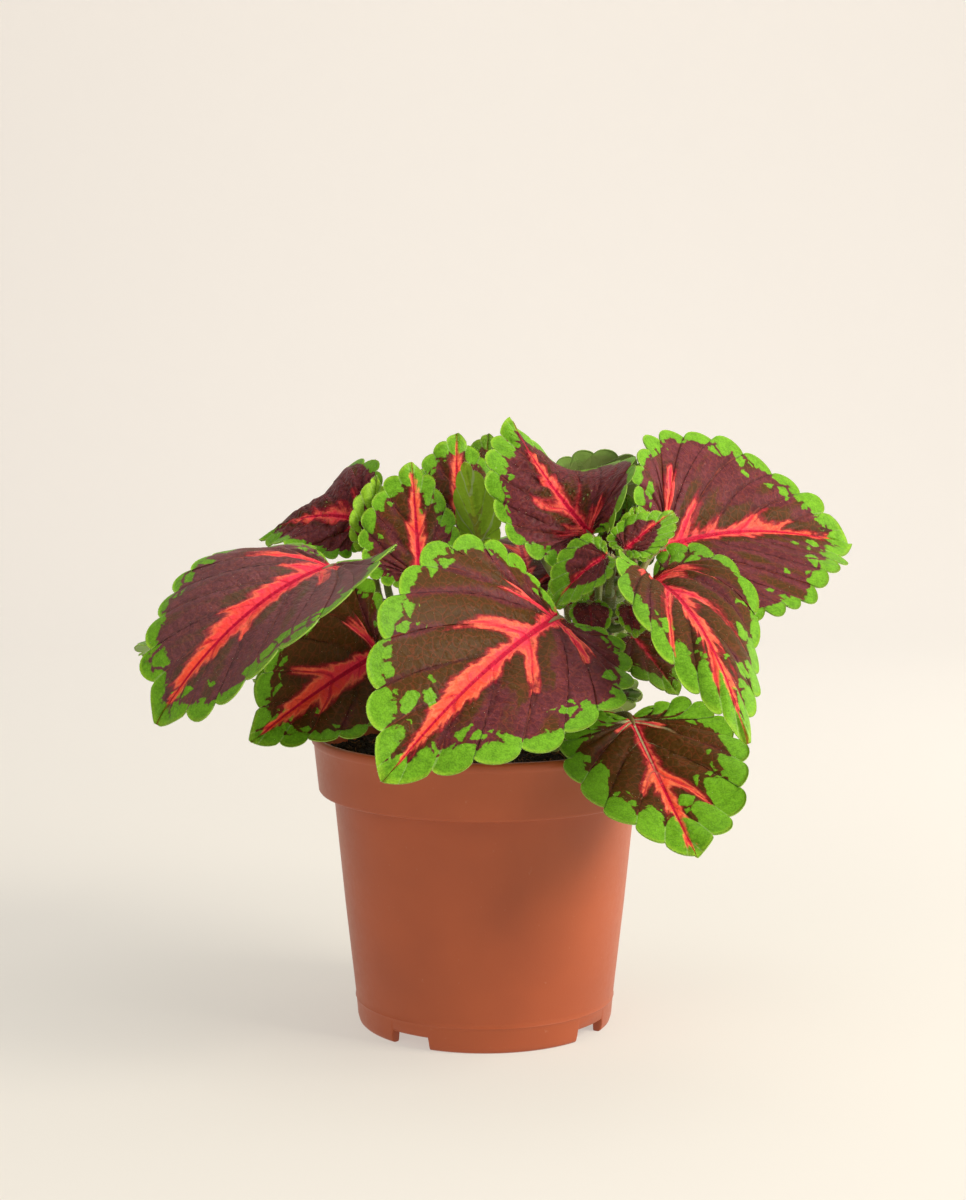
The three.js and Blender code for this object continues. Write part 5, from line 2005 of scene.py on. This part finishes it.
@dataclass
class Studio:
    """Pale sweep, soft lights and the camera of the photograph, in mm and degrees.

    Attributes:
        lens: focal length for a 36 mm long side, which is 2500 pixels for 1200 of height.
        camera: the camera's place.
        tilt: how far it looks down.
    """

    lens: float = 75.0
    camera: Point = (-0.6, -854.0, 259.0)
    tilt: float = 7.43
    wall: str = "#f3f0ed"
    # The floor's own colour is kept dark and its painted glow strong, so that the plant's shadow on it stays faint
    floor: str = "#9c9a93"
    painted_glow: str = "#f7f1e8"
    air: str = "#fdfaf6"

    # Front edge, start and radius of the curve, top edge and half the width of the sweep, in mm
    SWEEP = (-1600.0, 900.0, 700.0, 2600.0, 2600.0)
    # Name, place, target, side, watts and tint of each lamp
    LAMPS = (
        ("key", (900.0, -380.0, 720.0), (0.0, 0.0, 120.0), 480.0, 15.5, "#faf0e1"),
        ("fill", (-900.0, -1100.0, 800.0), (0.0, 0.0, 100.0), 1300.0, 6.0, "#ffeedb"),
        ("rim", (800.0, 380.0, 260.0), (40.0, 0.0, 60.0), 420.0, 1.3, "#fff4e6"),
        ("top", (200.0, 200.0, 1300.0), (0.0, 0.0, 100.0), 900.0, 4.0, "#fffaf2"),
    )
    AIR_LIGHT = 0.33

    def sweep(self) -> None:
        """A floor that curves up into a wall behind the plant."""
        near, far, radius, high, half = self.SWEEP
        turn = np.linspace(0, np.pi / 2, 24)
        y = np.concatenate([[near], far + radius * np.sin(turn), [far + radius]])
        z = np.concatenate([[0.0], radius * (1 - np.cos(turn)), [high]])
        x = np.array([-half, half])
        grid = np.stack(np.broadcast_arrays(x, y[:, None], z[:, None]), axis=-1)
        nodes = Nodes("sweep_paper")
        across, deep = (nodes.add("SeparateXYZ", {"Vector": nodes.place()}, axis) for axis in "XY")
        back = nodes.step(deep, 0.0, 1.5)
        # Painted light: the paper glows, strongest on the floor, where it lifts the plant's shadow, weaker on the
        # wall, and dimmer to the left
        painted_glow = nodes.times(nodes.ramp(back, 0.0, 1.0, 0.53, 0.225), nodes.ramp(across, -0.5, 0.4, 0.92, 1.02))
        paper = nodes.close({
            "Base Color": nodes.mix(back, linear(self.floor), linear(self.wall)),
            "Roughness": 0.9,
            "Emission Color": linear(self.painted_glow),
            "Emission Strength": painted_glow,
        })
        surface = Surface()
        surface.add(grid.reshape(-1, 3), [grid_faces(len(y), 2)])
        surface.build("sweep", [paper])

    def light(self, name: str, place: Point, target: Point, size: float, watts: float, tint: str) -> None:
        """Adds a square area light.

        Args:
            name: its name.
            place: where it stands, in mm.
            target: what it looks at, in mm.
            size: its side, in mm.
            watts: its power.
            tint: its colour.
        """
        data = bpy.data.lights.new(name, "AREA")
        data.size = size * MILLIMETRE
        data.energy = watts
        data.color = linear(tint)[:3]
        lamp = bpy.data.objects.new(name, data)
        way = np.array(target) - np.array(place)
        pan = math.atan2(way[0], -way[1])
        tilt = math.acos(-way[2] / float(np.linalg.norm(way)))
        lamp.rotation_euler = (tilt, 0.0, pan + math.pi)
        lamp.location = [value * MILLIMETRE for value in place]
        bpy.context.scene.collection.objects.link(lamp)

    def build(self) -> None:
        """Sets the camera, the lights, the sweep and the air's light."""
        data = bpy.data.cameras.new("photo_camera")
        data.lens = self.lens
        data.sensor_width = 36.0
        data.clip_start, data.clip_end = 0.01, 20.0
        camera = bpy.data.objects.new("photo_camera", data)
        camera.location = [value * MILLIMETRE for value in self.camera]
        camera.rotation_euler = (math.radians(90 - self.tilt), 0.0, 0.0)
        bpy.context.scene.collection.objects.link(camera)
        bpy.context.scene.camera = camera
        self.sweep()
        for lamp in self.LAMPS:
            self.light(*lamp)
        world = bpy.data.worlds.new("studio_air")
        world.use_nodes = True
        air = world.node_tree.nodes["Background"].inputs
        air["Color"].default_value, air["Strength"].default_value = linear(self.air), self.AIR_LIGHT
        bpy.context.scene.world = world
        bpy.context.scene.view_settings.view_transform = "Standard"


def main() -> None:
    """Builds the studio, the pot, the soil, the stems and the leaves."""
    logging.basicConfig(level=logging.INFO, format="%(message)s")
    Studio().build()
    Pot().build()
    Soil().build()
    finish = StalkFinish()
    skin = finish.material("downy_stalk")
    hair = finish.hair_material("plant_hair")
    Shoots(skin, hair).build()
    Foliage(skin, hair).build()


if __name__ == "__main__":
    main()
